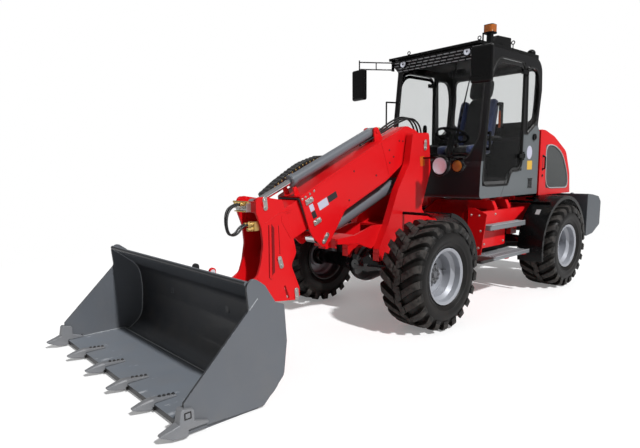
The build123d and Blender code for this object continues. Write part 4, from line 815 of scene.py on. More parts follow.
CHAIN = Coated("chain_plastic", srgb(20, 20, 21), 0.5, 0.0, wear=0.5, bare=srgb(92, 92, 92),
               dust=0.1)
CHAIN_BAR = replace(CHAIN, name="chain_bar", color=srgb(62, 62, 64), bare=srgb(110, 110, 110))
CHROME = Plated("chrome", srgb(225, 225, 228), 0.10, (1, 30, 30), 0.06, 0.03)
ZINC = Plated("zinc", srgb(196, 196, 192), 0.32, (1, 1, 1), 0.2, 0.08)
YELLOW_ZINC = Plated("yellow_zinc", srgb(214, 184, 118), 0.34, (1, 1, 1), 0.2, 0.06)
TYRE = Rubber("tyre_rubber")
HOSE = Coated("hose_rubber", srgb(15, 15, 16), 0.45, 0.0, grain=(900.0, 0.0003), wear=0.1,
              dust=0.05)
GLASS = Pane("safety_glass")
LAMP_GLASS = Pane("lamp_glass", (0.94, 0.95, 0.96, 1.0), 0.9)
# painted glow: the amber covers emit a little of their colour, though no lamp is lit
AMBER = Lens("amber_lens", srgb(206, 112, 38), 260.0, 0.05, 0.2)
REFLECTOR = Coated("lamp_reflector", srgb(206, 206, 216), 0.25, 0.3, metallic=0.5,
                   grain=(70.0, 0.003), wear=0.0, dust=0.0)
DECAL = Coated("blank_decal", srgb(186, 186, 204), 0.35, 0.2, wear=0.2, bare=srgb(150, 150, 150),
               dust=0.1)
DARK_DECAL = replace(DECAL, name="dark_decal", color=srgb(26, 22, 26), bare=srgb(90, 60, 60))
YELLOW_DECAL = replace(DECAL, name="yellow_decal", color=srgb(214, 168, 52),
                       bare=srgb(150, 120, 60))
# painted glow: the tower's reflector tiles emit a little of their colour, though they are no lamp
ORANGE_TILE = Lens("orange_tile", srgb(228, 100, 36), 300.0, 0.06, 0.05)
PALE_TRIM = Coated("pale_trim", srgb(168, 168, 170), 0.5, 0.0, wear=0.2, dust=0.1)
WIRE_GREY = Coated("grille_wire", srgb(98, 101, 101), 0.5, 0.1, wear=0.3, dust=0.1)
WELD_GREY = Coated("weld_grey", srgb(150, 154, 158), 0.45, 0.1, wear=0.4, dust=0.05)
GUARD_GREY = Coated("guard_grey", srgb(150, 152, 156), 0.4, 0.1, wear=0.6,
                    bare=srgb(170, 172, 176), dust=0.05)
DARK_STEEL = Coated("dark_steel", srgb(46, 48, 52), 0.42, 0.1, metallic=0.3, wear=0.5, dust=0.1)
FRIT = Coated("glass_frit", srgb(10, 10, 11), 0.16, 0.4, grain=(800.0, 0.0), wear=0.0, dust=0.02)
ORANGE_BELT = Cloth("belt_orange", srgb(235, 100, 34), 700.0)
SEAT_BLUE = Cloth("seat_blue", srgb(50, 66, 118))
SEAT_BLACK = Cloth("seat_black", srgb(17, 17, 21))

#: each finish, and the CAD nodes that wear it
NODE_FINISH = {node: finish for finish, nodes in (
    (RED,
     "front_frame outer_boom inner_boom bellcrank tilt_link rear_frame cab_skirts engine_hood"),
    (COUPLER_RED, "quick_coupler"),
    (GLOSS_BLACK, "front_axle rear_axle"),
    (BLACK, "side_tanks engine"),
    (PLASTIC, "front_fenders rear_fenders headlamps roof_lights mirrors cab_roof"),
    (PLASTIC, "left_door_fittings right_door_fittings"),
    (GRILLE_GREY, "hood_grilles"),
    (TRIM, "seat_base steering_column"),
    (CYLINDER_GREY, "extension_barrel lift_barrel tilt_barrel"),
    (CHROME, "extension_rod lift_rod tilt_rod"),
    (CHAIN, "hose_chain"),
    (ZINC, "hydraulic_couplings"),
    (BUCKET_GREY, "bucket"),
    (TOOTH_GREY, "bucket_teeth"),
    (STEP_GREY, "steps"),
    (WEIGHT_GREY, "counterweight"),
    (CAB_GREY, "cab_tub"),
    (FRAME_BLACK, "cab_frame"),
    (GLASS, "windscreen cab_windows left_door right_door"),
    (SILVER, " ".join(f"{wheel}_rim" for wheel in WHEEL_NAMES)),
) for node in nodes.split()}


def finish_nodes() -> None:
    """Gives each CAD node that shows its finish."""
    for name, node in frame["nodes"].items():
        if name in NODE_FINISH:
            node.data.materials.clear()
            node.data.materials.append(NODE_FINISH[name].material())


# ------------------------------------------------------------------ places on the machine
BOOM_PIVOT = np.array(JOINTS["boom_lift"]["pos_m"])
BOOM_ALONG = np.array(JOINTS["boom_extend"]["axis"])
LEFT = np.array([0.0, 1.0, 0.0])
BOOM_UP = np.cross(BOOM_ALONG, LEFT)
BOOM_REACH = 1.817


def on_boom(along: float, y: float, above: float) -> np.ndarray:
    """A place along the boom from its pivot, out from the middle and square above its line."""
    return BOOM_PIVOT + along * BOOM_ALONG + y * LEFT + above * BOOM_UP


HEAD = on_boom(BOOM_REACH, 0, 0)


def rear(x: float, y: float, z: float) -> np.ndarray:
    """A place given ahead of the rear axle."""
    return at(x - WHEELBASE, y, z)


REAR_AXLE = rear(0, 0, 0)


def outward(shell: Shell) -> Shell:
    """The shell with its faces turned round if they enclose a volume below zero: the sum, over
    the faces, of each corner triangle's product with the origin."""
    faces = np.concatenate([shell.quads[:, [0, 1, 2]], shell.quads[:, [0, 2, 3]], shell.triangles])
    a, b, c = (shell.points[faces[:, i]] for i in range(3))
    if (a * np.cross(b, c)).sum() >= 0:
        return shell
    return Shell(shell.points, shell.quads[:, ::-1], shell.triangles[:, ::-1])


def slab(low: Vec3, high: Vec3, chamfer: float = 0.002) -> Shell:
    """A block between two corners with chamfered edges."""
    low, high = np.array(low), np.array(high)
    width, height, depth = high - low
    outline = np.array([(-1, -1), (1, -1), (1, 1), (-1, 1)]) * (width / 2, height / 2)
    return plate(outline, depth, chamfer).moved((low + high) / 2 - (0, 0, depth / 2))


def hoop(corners: np.ndarray | list, radius: float, bend: float, upright: Vec3) -> Shell:
    """A closed round strip through corners, each rounded by a bend; it starts half-way along
    the edge between the last corner and the first."""
    middle = (corners[0] + corners[-1]) / 2
    path = arc_path([middle, *corners, middle], bend, 8)[:-1]
    along = np.roll(path, -1, 0) - np.roll(path, 1, 0)
    along /= np.linalg.norm(along, axis=1, keepdims=True)
    across = np.cross(along, upright)
    across /= np.linalg.norm(across, axis=1, keepdims=True)
    rim = circle(8) * radius
    rings = rim[None, :, :1] * across[:, None] + rim[None, :, 1:] * np.cross(along, across)[:, None]
    return stack(rings + path[:, None], looped=True)


def bead(path: list[np.ndarray], radius: float) -> Shell:
    """A weld bead: a bar whose radius ripples as the weld's overlapping drops do."""
    ends = np.array(path)
    steps = max(int(np.linalg.norm(np.diff(ends, axis=0), axis=1).sum() / 0.006), 4)
    share = np.linspace(0, len(ends) - 1, steps)
    points = np.stack([np.interp(share, np.arange(len(ends)), ends[:, i]) for i in range(3)], -1)
    size = radius * (1 + 0.14 * np.sin(np.arange(steps) * TURN / 4))
    return tube(points, size, 8, (0.31, 0.9, 0.3))


def spline(name: str, points: list[np.ndarray], radius: float) -> bpy.types.Object:
    """A hose as a smooth curve with the given control points."""
    curve = bpy.data.curves.new(name, "CURVE")
    curve.dimensions, curve.bevel_depth, curve.bevel_resolution = "3D", radius, 4
    curve.resolution_u, curve.use_fill_caps = 12, True
    line = curve.splines.new("NURBS")
    line.points.add(len(points) - 1)
    line.points.foreach_set("co", np.column_stack([points, np.ones(len(points))]).ravel())
    line.order_u, line.use_endpoint_u = 3, True
    piece = bpy.data.objects.new(name, curve)
    bpy.context.scene.collection.objects.link(piece)
    return piece


def centreline(points: list[np.ndarray]) -> np.ndarray:
    """The points that a smooth curve with these control points runs through."""
    guide = spline("guide", points, 0.0)
    guide.data.use_fill_caps = False
    mesh = bpy.data.meshes.new_from_object(guide)
    line = np.empty(len(mesh.vertices) * 3)
    mesh.vertices.foreach_get("co", line)
    bpy.data.objects.remove(guide)
    bpy.data.meshes.remove(mesh)
    return line.reshape(-1, 3)


# ------------------------------------------------------------------ wheels
@dataclass
class Wheel:
    """A drive tyre with staggered bars, and the bolts and valve on its rim."""

    center: np.ndarray
    outer: int                         # +1 on the left, -1 on the right
    half_width: float = 0.198
    bars: int = 21                     # on each half of the tread
    lean: float = 0.98                 # radians between a bar and the wheel's axis, at the middle

    #: outside of the carcass from the outer bead over the crown: out from the middle, radius
    CARCASS = ((0.1555, 0.2296), (0.1575, 0.2500), (0.1660, 0.2560), (0.1700, 0.2600),
               (0.1760, 0.2680), (0.1840, 0.2880), (0.1870, 0.2910), (0.1860, 0.2950),
               (0.1930, 0.3200), (0.1950, 0.3400), (0.1930, 0.3640), (0.1880, 0.3840),
               (0.1800, 0.4040), (0.1640, 0.4220), (0.1300, 0.4340), (0.0700, 0.4400),
               (0.0000, 0.4410))
    LINER = ((0.0, 0.415), (0.11, 0.412), (0.152, 0.395), (0.169, 0.345), (0.152, 0.275),
             (0.132, 0.2296))
    #: along a bar from the middle: share, out, top radius, base radius, half width round the tyre
    BAR = ((0.00, -0.024, 0.4742, 0.432, 0.0350), (0.10, 0.008, 0.4750, 0.432, 0.0360),
           (0.30, 0.062, 0.4748, 0.430, 0.0350), (0.50, 0.112, 0.4735, 0.426, 0.0335),
           (0.70, 0.154, 0.4700, 0.416, 0.0325), (0.80, 0.174, 0.4640, 0.404, 0.0320),
           (0.88, 0.187, 0.4520, 0.394, 0.0315), (0.94, 0.1935, 0.4360, 0.388, 0.0310),
           (1.00, 0.1945, 0.4150, 0.384, 0.0300))
    SLIT = (0.215, 0.245)              # shares of the bar on each side of the cut across it

    def carcass(self) -> Shell:
        """The outside run over the crown and back, closed through the inner lining, carried
        round the axis."""
        out = [(r, y) for y, r in self.CARCASS]
        liner = [(r, y) for y, r in self.LINER]
        ring = out + [(r, -y) for r, y in out[-2::-1]] + [(r, -y) for r, y in liner[:0:-1]] + liner
        return outward(lathe(ring, 120, looped=True))

    def bar(self, first: float, last: float) -> tuple[Shell, np.ndarray]:
        """One bar between two shares of its length, at the angle zero.

        Each station is a ring of eight points: two base points, and sides that step in to a
        chamfered top. Its angle round the tyre grows with the way out, faster near the middle.

        Args:
            first: share where it starts.
            last: share where it ends.

        Returns:
            The shell, its axis along z, and how near each point is to the bar's top.
        """
        table = np.array(self.BAR)
        share = np.linspace(first, last, max(int((last - first) * 16), 4))
        out, top, base, half = (np.interp(share, table[:, 0], table[:, i]) for i in range(1, 5))
        reach = np.maximum(out, 0) / self.half_width
        angle = math.tan(self.lean) * (0.27 * reach - 0.035 * reach**2) * 0.86
        taper = np.where((share > first) & (share < last), 1.0, 0.0)[:, None]
        across = np.array([-1.16, -1.09, -1.01, -0.96, 0.96, 1.01, 1.09, 1.16]) * half[:, None]
        rise = np.array([0, 0.5, 0.98, 1, 1, 0.98, 0.5, 0])
        height = base[:, None] + (top - base)[:, None] * rise * (0.93 + 0.07 * taper)
        turn = angle[:, None] + across / height
        rings = np.stack([height * np.cos(turn), height * np.sin(turn),
                          np.broadcast_to(out[:, None], turn.shape)], -1)
        return stack(rings), np.concatenate([np.tile(rise, len(share)), [0.5, 0.5]])

    def rubber(self, name: str) -> bpy.types.Object:
        """The whole tyre: carcass and both halves' bars, half a pitch apart, turned so that the
        axis lies across the machine and the bars' middles touch the ground first."""
        carcass = self.carcass()
        radius = np.linalg.norm(carcass.points[:, :2], axis=1)
        shells, values = [carcass], [np.where(radius > 0.41, 0.0, 0.3)]
        pitch = TURN / self.bars
        for side in (1, -1):
            angle = np.arange(self.bars) * pitch + (0 if side > 0 else pitch / 2)
            for span in ((0.0, self.SLIT[0]), (self.SLIT[1], 1.0)):
                one, tread = self.bar(*span)
                one = outward(Shell(one.points * (1, 1, side), one.quads, one.triangles))
                spin = np.stack([
                    np.stack([np.cos(angle), np.sin(angle), 0 * angle], -1),
                    np.stack([-np.sin(angle), np.cos(angle), 0 * angle], -1),
                    np.broadcast_to([0, 0, 1.0], (self.bars, 3))], 1)
                shells.append(copies(one, np.zeros((self.bars, 3)), spin))
                values.append(np.tile(tread, self.bars))
        tyre = join(shells)
        flat = np.array([(1, 0, 0), (0, 0, 1), (0, 1, 0)], float)      # own z across the machine
        placed = outward(tyre.turned(flat)).moved(self.center)
        return put(f"{name}_tyre_rubber", placed, f"{name}_wheel", TYRE,
                   parts={"tread": np.concatenate(values)})

    def bolts(self, name: str) -> bpy.types.Object:
        """Ten wheel bolts on the hub's face, eight on its cover, and the valve in the disc."""
        axes = facing((0, self.outer, 0))
        ring = circle(10) * 0.062
        cover = circle(8, 0.2) * 0.041
        rows = ((0.021, ring, 0.0395), (0.010, cover, 0.0395),
                (0.019, circle(10, 0.3) * 0.101, 0.0065))
        heads = [copies(bolt(size).turned(axes),
                        np.column_stack([spots, np.full(len(spots), out)]) @ axes + self.center)
                 for size, spots, out in rows]
        cap = lathe([(0.030, 0), (0.030, 0.010), (0.024, 0.014), (0.0, 0.0145)], 24).turned(axes)
        cap = cap.moved(self.center + (0, self.outer * 0.046, 0))
        stem = np.array([(0.15, 0.02, 0.0), (0.155, 0.024, 0.03), (0.163, 0.027, 0.052)])
        valve = tube(stem @ axes + self.center, 0.005, 8, (0, 0.2, 1))
        return put(f"{name}_hub_bolts", join([*heads, cap, valve]), f"{name}_wheel",
                   HUB_GREY)

    def build(self, name: str) -> None:
        """Makes the tyre and the bolts of one wheel."""
        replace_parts(self.rubber(name), f"{name}_tyre")
        self.bolts(name)


# ------------------------------------------------------------------ boom
@dataclass
class PinLocks:
    """Oblong plates that lock the pins: each is held by one bolt and covers the pin's end."""

    length: float = 0.108
    width: float = 0.042
    thickness: float = 0.008
    #: name, body, place of the plate's middle on the left, direction of its long side
    places: tuple[tuple[str, str, Vec3, Vec3], ...] = (
        ("head_low", "sliding_boom", (0.117, 0.1372, -0.266), (0.3, 0, 1)),
        ("head_top", "sliding_boom", (0.258, 0.1372, 0.216), (0.1, 0, 1)),
        ("head_heel", "sliding_boom", (-0.048, 0.1372, -0.557), (0.1, 0, 1)),
    )

    def one(self, axes: np.ndarray) -> Shell:
        """The plate with its bolt, the pin's end and the grease nipple."""
        outline = rounded(self.width, self.length, self.width * 0.48, 6)
        lift = np.array([0, 0, self.thickness])
        nipple = lathe([(0.012, 0), (0.012, 0.003), (0.007, 0.004), (0.006, 0.010), (0, 0.011)], 12)
        parts = [plate(outline, self.thickness, 0.0015),
                 bolt(0.019).moved(lift + (0, -self.length * 0.3, 0)),
                 nipple.moved(lift + (0, self.length * 0.22, 0))]
        return join(parts).turned(axes)

    def build(self) -> None:
        """Locks on the head, the boom's ears, the tower and the coupler, on both sides."""
        spots = [(name, body, HEAD + place, way) for name, body, place, way in self.places]
        spots += [
            ("ear", "fixed_boom", on_boom(1.519, 0.1505, -0.258), (-0.6, 0, 0.8)),
            ("tower", "front", BOOM_PIVOT + (0.001, 0.2405, -0.028), (0, 0, 1)),
            ("coupler", "attachment", COUPLER + (0.02, 0.1735, 0.03), (0.5, 0, 1)),
        ]
        for name, body, place, way in spots:
            shell = self.one(facing((0, 1, 0), way)).moved(place).both()
            put(f"pin_locks_{name}", shell, body, ZINC)


@dataclass
class BoomDress:
    """What is bolted, welded and stuck to the fixed boom's sides."""

    side: float = 0.1502               # half width over the side plates
    pads: tuple[tuple[float, float], ...] = ((1.556, 0.121), (1.545, -0.079))
    plugs: tuple[tuple[float, float], ...] = (
        (0.262, 0.124), (0.213, 0.100), (0.435, 0.100), (0.400, 0.018), (0.475, -0.012),
        (0.700, -0.04), (0.960, 0.12), (1.120, -0.09))
    axes: np.ndarray = field(default_factory=lambda: facing((0, 1, 0), tuple(BOOM_UP)))

    def wear_pads(self) -> None:
        """Zinc plates that hold the wear pads, two bolts in each, with slotted ends."""
        clamp = join([plate(rounded(0.088, 0.046, 0.008), 0.008),
                      copies(bolt(0.024), [(-0.026, 0, 0.008), (0.026, 0, 0.008)]),
                      slab((-0.006, -0.02, 0.0075), (0.006, 0.02, 0.011))])
        shell = join([clamp.turned(self.axes).moved(on_boom(a, self.side, b))
                      for a, b in self.pads])
        put("wear_pad_clamps", shell.both(), "fixed_boom", ZINC)

    def seams(self) -> None:
        """The joint between the rear and front side plates, and the welds along the edges."""
        y = self.side
        runs = [
            [on_boom(0.515, y, 0.205), on_boom(0.529, y, -0.112)],
            [on_boom(0.110, y, 0.190), on_boom(0.615, y, 0.2105), on_boom(1.612, y, 0.182)],
            [on_boom(0.600, y, -0.136), on_boom(1.190, y, -0.137)],
        ]
        shell = join([bead(run, 0.0028) for run in runs])
        put("boom_welds", shell.both(), "fixed_boom", RED)

    def plugs_and_bolts(self) -> None:
        """Plugged grease holes down the side, and the row of screws along the front top edge."""
        plug = lathe([(0.009, 0), (0.009, 0.0015), (0.006, 0.003), (0, 0.003)], 16)
        holes = copies(plug.turned(self.axes), [on_boom(a, self.side, b) for a, b in self.plugs])
        put("boom_plugs", holes.both(), "fixed_boom", HOSE)
        screw = bolt(0.013).turned(self.axes)
        row = [on_boom(a, self.side, b)
               for a, b in ((1.615, 0.165), (1.577, 0.167), (1.522, 0.169), (1.470, 0.171))]
        put("boom_screws", copies(screw, row).both(), "fixed_boom", ZINC)

    def blank_plates(self) -> None:
        """Plain decals without print: two pale ones, and two dark ones beside them."""
        def blank(width: float, height: float, along: float, above: float) -> Shell:
            """A thin sheet with round corners on the left side plate."""
            sheet = plate(rounded(width, height, 0.004), 0.0008, 0.0002)
            return sheet.turned(self.axes).moved(on_boom(along, self.side, above))
        pale = [blank(0.048, 0.062, 1.551, 0.054), blank(0.118, 0.070, 1.420, 0.024)]
        dark = [blank(0.116, 0.058, 1.296, 0.030), blank(0.048, 0.062, 1.551, -0.012)]
        put("boom_decals", join(pale), "fixed_boom", DECAL)
        put("boom_dark_decal", join(dark), "fixed_boom", DARK_DECAL)

    def front_gap(self) -> None:
        """The black scraper round the mouth of the fixed boom, against the sliding one."""
        half, top, bottom, along = 0.1335, 0.1765, -0.1165, BOOM_REACH - 0.184
        corners = [(half, top), (-half, top), (-half, bottom), (half, bottom)]
        ring = [on_boom(along + (0.004 if b > 0 else 0.006), y, b) for y, b in corners]
        shell = hoop(ring, 0.0085, 0.012, tuple(BOOM_ALONG))
        put("boom_scraper", shell, "fixed_boom", HOSE)

    def build(self) -> None:
        """All of the fixed boom's dress."""
        self.wear_pads()
        self.seams()
        self.plugs_and_bolts()
        self.blank_plates()
        self.front_gap()


@dataclass
class HeadDress:
    """Stiffeners, welds and hydraulic fittings of the boom's head."""

    side: float = 0.1370

    def ribs(self) -> None:
        """A shallow rib down each side plate, dark red fold lines and a dark red sheet beside them
        as painted shade of the folds, and the welds where the plate meets the box."""
        y = self.side

        def sheet(corners: list[tuple[float, float]], thickness: float, chamfer: float) -> Shell:
            """A flat outline on the left side plate, from corners ahead of and above the head."""
            flat = plate(np.array(corners) * (-1, 1), thickness, chamfer).turned(OUT)
            return outward(flat).moved(HEAD + (0, y, 0))

        def line(run: list[tuple[float, float]]) -> list[np.ndarray]:
            """Places on the left side plate."""
            return [HEAD + (x, y, z) for x, z in run]

        rib = sheet([(0.208, -0.395), (0.229, -0.38), (0.223, 0.045), (0.205, 0.030)], 0.005, 0.002)
        folds = [[(0.196, 0.05), (0.198, -0.36)], [(0.233, -0.38), (0.227, 0.045)],
                 [(0.128, 0.035), (0.118, -0.22)]]
        shade = sheet([(0.198, 0.05), (0.200, -0.36), (0.174, -0.34), (0.172, 0.02)],
                      0.0012, 0.0004)
        # painted shade: the fold lines and the sheet are dark red paint where the folds would shade
        # the plate
        dark = join([*(tube(line(run), 0.0028, 6, (0, 1, 0)) for run in folds), shade])
        put("head_fold_shade", dark.both(), "sliding_boom", SHADE_RED)
        welds = [[(0.262, 0.062), (0.129, 0.130), (-0.015, 0.152)],
                 [(0.090, 0.112), (0.094, 0.060), (0.000, -0.085)],
                 [(0.352, -0.36), (0.194, -0.578)]]
        raised = join([rib, *(bead(line(run), 0.003) for run in welds)])
        put("head_ribs", raised.both(), "sliding_boom", RED)

    def fittings(self) -> None:
        """Yellow-plated elbows and couplings at the head's top and face."""
        nut = lathe([(0.014, 0), (0.017, 0.003), (0.017, 0.018), (0.012, 0.022), (0.012, 0.040),
                     (0.015, 0.042), (0.015, 0.052), (0, 0.052)], 6).turned(AHEAD)
        places = [HEAD + (x, y, z) for x, y, z in (
            (0.385, 0.052, 0.218), (0.385, 0.018, 0.218), (0.385, -0.018, 0.218),
            (0.345, 0.088, 0.058), (0.345, 0.050, 0.058), (0.345, 0.088, 0.020))]
        block = slab((0.300, 0.030, 0.005), (0.346, 0.112, 0.078), 0.003).moved(HEAD)
        cover = slab((0.392, -0.066, 0.156), (0.410, 0.066, 0.164), 0.002).moved(HEAD)
        bar = tube([HEAD + (0.40, -0.085, 0.232), HEAD + (0.40, 0.112, 0.232)], 0.009, 12)
        shell = join([copies(nut, places), block, cover, bar])
        put("head_fittings", shell, "sliding_boom", YELLOW_ZINC)

    def hoses(self) -> None:
        """Two short hoses that loop forward from the couplings down to the face fittings."""
        for name, y, out in (("head_hose_left", 0.052, 0.0), ("head_hose_right", 0.018, -0.012)):
            low = 0.088 if out == 0.0 else 0.050
            points = [HEAD + p for p in (
                (0.437, y, 0.218), (0.475, y, 0.216), (0.548, y + 0.01, 0.176),
                (0.588 + out, low, 0.082), (0.566 + out, low + 0.004, -0.012),
                (0.492, low, -0.012), (0.436, low, 0.052), (0.397, low, 0.058))]
            hose = spline(name, points, 0.0085)
            hose.data.materials.append(HOSE.material())
            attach(hose, "sliding_boom")

    def build(self) -> None:
        """All of the head's dress."""
        self.ribs()
        self.fittings()
        self.hoses()


@dataclass
class TowerHoses:
    """Hoses from the telescope cylinder's valve, in an arch over the boom pivot and down behind the
    tower."""

    spread: float = 0.046              # between the hoses
    radius: float = 0.0095
    turning: Vec3 = (0.16, 0.0, 0.10)  # half of the bending zone

    def build(self) -> None:
        """Three hoses side by side, each blended between the boom and the front frame."""
        for i in range(3):
            y = 0.052 - i * self.spread
            high = 0.010 * (i - 1)
            run = [on_boom(0.700, y, 0.262), on_boom(0.520, y, 0.256), on_boom(0.330, y, 0.252)]
            run += [BOOM_PIVOT + p for p in ((0.150, y, 0.222 + high), (-0.020, y, 0.262 + high),
                                             (-0.150, y, 0.208 + high), (-0.206 - high, y, 0.090),
                                             (-0.214 - high, y, -0.060), (-0.205 - high, y, -0.210),
                                             (-0.140, y, -0.318), (-0.052, y, -0.330))]
            line = centreline(run)
            hose = put(f"tower_hose_{i + 1}", tube(line, self.radius, 12, (0, 1, 0)), None, HOSE,
                       Shading.SMOOTH)
            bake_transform(hose)


@dataclass
class ChainDress:
    """Side plates and cross bars of the cable chain's links, along its upper run."""

    y: float = -0.138
    half_width: float = 0.0425
    pitch: float = 0.046
    span: float = 0.03                 # each way from a link, over which its slope is taken
    #: the upper run's outer face, along the boom and above its line
    RUN = ((0.944, 0.246), (1.060, 0.322), (1.180, 0.341), (1.290, 0.351), (1.400, 0.346),
           (1.500, 0.336), (1.610, 0.322), (1.786, 0.290))

    def build(self) -> None:
        """A link every pitch: two plates just outside the chain's sides, and a bar across."""
        run = np.array(self.RUN)
        length = np.concatenate([[0], np.cumsum(np.linalg.norm(np.diff(run, axis=0), axis=1))])
        spots = np.arange(self.pitch / 2, length[-1], self.pitch)
        along, above = (np.interp(spots, length, run[:, i]) for i in (0, 1))
        near, far = spots - self.span, spots + self.span
        slope = np.arctan2(*(np.interp(far, length, run[:, i]) - np.interp(near, length, run[:, i])
                             for i in (1, 0)))
        ahead = np.cos(slope)[:, None] * BOOM_ALONG + np.sin(slope)[:, None] * BOOM_UP
        up = -np.sin(slope)[:, None] * BOOM_ALONG + np.cos(slope)[:, None] * BOOM_UP
        axes = np.stack([-ahead, up, np.broadcast_to(LEFT, ahead.shape)], 1)
        places = BOOM_PIVOT + along[:, None] * BOOM_ALONG + above[:, None] * BOOM_UP + self.y * LEFT
        link = rounded(self.pitch * 0.84, 0.034, 0.014)
        side = plate(link, 0.003, 0.0008).moved((0, -0.017, self.half_width))
        bar = slab((-0.008, -0.004, -self.half_width - 0.001),
                   (0.008, 0.0035, self.half_width + 0.001), 0.0015)
        hinge = lathe([(0.0085, 0), (0.0085, 0.0015), (0.006, 0.0025), (0, 0.0025)], 10)
        hinge = hinge.moved((self.pitch * 0.25, -0.017, self.half_width + 0.003))
        other = Shell(side.points * (1, 1, -1), side.quads[:, ::-1], side.triangles[:, ::-1])
        links = copies(join([side, other]), places, axes)
        put("chain_links", links, "sliding_boom", CHAIN)
        put("chain_bars", copies(bar, places, axes), "sliding_boom", CHAIN_BAR)
        put("chain_pins", copies(hinge, places, axes), "sliding_boom", YELLOW_ZINC)


@dataclass
class CylinderDress:
    """The gland ring, ports and elbows of the telescope cylinder."""

    def build(self) -> None:
        """A wrench ring on the gland, and the yellow valve block with its elbows and nuts."""
        gland = on_boom(1.545, 0, 0.300)
        ring = lathe([(0.054, 0), (0.0565, 0.002), (0.0565, 0.012), (0.054, 0.014)], 32)
        ring = ring.turned(facing(tuple(BOOM_ALONG)))
        axes = facing(tuple(BOOM_UP), tuple(BOOM_ALONG))
        bend = arc_path([(0, 0, 0.030), (0, 0, 0.050), (0, -0.075, 0.050)], 0.012)
        foot = lathe([(0.017, 0), (0.017, 0.020), (0.013, 0.023), (0.013, 0.034), (0, 0.034)], 6)
        elbow = join([foot, tube(bend, 0.008, 10, (1, 0, 0))])
        ports = copies(elbow.turned(axes), [on_boom(0.420, y, 0.248) for y in (0.020, -0.02)])
        box = slab((-0.034, -0.020, 0), (0.034, 0.020, 0.020), 0.003)
        nut = lathe([(0.012, 0), (0.012, 0.014), (0.008, 0.016), (0.008, 0.026), (0, 0.026)], 6)
        nuts = copies(nut.turned(facing((0, 1, 0), tuple(BOOM_UP))),
                      [on_boom(along, 0.034, 0.248) for along in (0.42, 0.45)])
        box = box.turned(axes).moved(on_boom(0.43, 0.0, 0.238))
        put("telescope_gland", ring.moved(gland), "fixed_boom", CYLINDER_GREY)
        put("telescope_ports", join([ports, box, nuts]), "fixed_boom", YELLOW_ZINC)


# ------------------------------------------------------------------ lamps and mirrors
@dataclass
class Lamp:
    """A round lamp: a bright bowl, clear or amber cover and black rim, in front of its CAD
    body."""

    radius: float
    depth: float = 0.012

    def build(self, name: str, place: np.ndarray, way: Vec3, body: str, glass: Finish) -> None:
        """Makes the rim, the reflector with its facets and the cover, on both sides.

        Args:
            name: first word of the pieces' names.
            place: middle of the CAD lamp's front edge.
            way: direction that the lamp shines in.
            body: the body that carries it.
            glass: finish of the cover.
        """
        r, d, axes = self.radius, self.depth, facing(way)
        rim = lathe([(r * 0.84, -0.004), (r * 1.0, -0.003), (r * 1.02, 0.003), (r * 0.98, d),
                     (r * 0.86, d + 0.001), (r * 0.835, d - 0.004), (r * 0.835, 0.0)], 48,
                    looped=True)
        angle = np.arange(48) * TURN / 48
        bowl_r = np.array([0.835, 0.76, 0.60, 0.40, 0.20, 0.10])
        sink = np.array([d - 0.004, 0.004, -0.001, 0.002, 0.005, 0.005])
        facets = 1 + 0.07 * np.outer([0, 1, 1, 1, 0, 0], np.sign(np.sin(angle * 12)))
        reach = bowl_r[:, None] * r * facets
        bowl = stack(np.stack([reach * np.cos(angle), reach * np.sin(angle),
                               np.broadcast_to(sink[:, None] + 0.0005, reach.shape)], -1))
        cover = lathe([(r * 0.84, d - 0.003), (r * 0.78, d + 0.001), (r * 0.5, d + 0.004),
                       (r * 0.2, d + 0.005), (0.001, d + 0.0052)], 48)
        pieces = (("rim", rim, PLASTIC, "black_plastic"), ("reflector", bowl, REFLECTOR, "chrome"),
                  ("cover", cover, glass, "cab_glass"))
        for part, shell, finish, slot in pieces:
            if part == "reflector" and glass is AMBER:
                continue
            shell = outward(shell).turned(axes).moved(place).both()
            shading = Shading.SMOOTH if part == "cover" else Shading.BY_ANGLE
            put(f"{name}_{part}", shell, body, finish, shading)


def build_lamps() -> None:
    """Headlamps, side indicators, work lamps, and the beacon's lens."""
    Lamp(0.094).build("headlamp", at(-0.459, 0.510, 1.412), (1, 0, 0), "front", LAMP_GLASS)
    Lamp(0.064).build("indicator", at(-0.656, 0.573, 1.409), (1, 0, 0), "front", AMBER)
    work = Lamp(0.046, 0.009)
    work.build("work_lamp_front", rear(1.384, 0.400, 2.543), (1, 0, 0), "rear", LAMP_GLASS)
    work.build("work_lamp_rear", rear(0.102, 0.440, 2.674), (-1, 0, 0), "rear", LAMP_GLASS)
    rounds = rounded(0.106, 0.106, 0.026, 6)
    ribs = 1 + 0.006 * np.cos(np.arange(len(rounds)) * math.pi)
    levels = ((1.0, 0.0), (1.0, 0.062), (0.985, 0.070), (0.92, 0.074))
    rings = np.stack([np.column_stack([rounds * (k * ribs)[:, None] if z < 0.07 else rounds * k,
                                       np.full(len(rounds), z)]) for k, z in levels])
    base = stack(np.stack([np.column_stack([rounds * k, np.full(len(rounds), z)]) for k, z in
                           ((1.05, -0.014), (1.05, -0.002), (1.0, 0.0))]))
    middle = rear(1.045, 0.450, 2.640)
    put("beacon_lens", stack(rings).moved(middle + (0, 0, 0.1255)), "rear", AMBER)
    put("beacon_base", base.moved(middle + (0, 0, 0.1262)), "rear", PLASTIC)


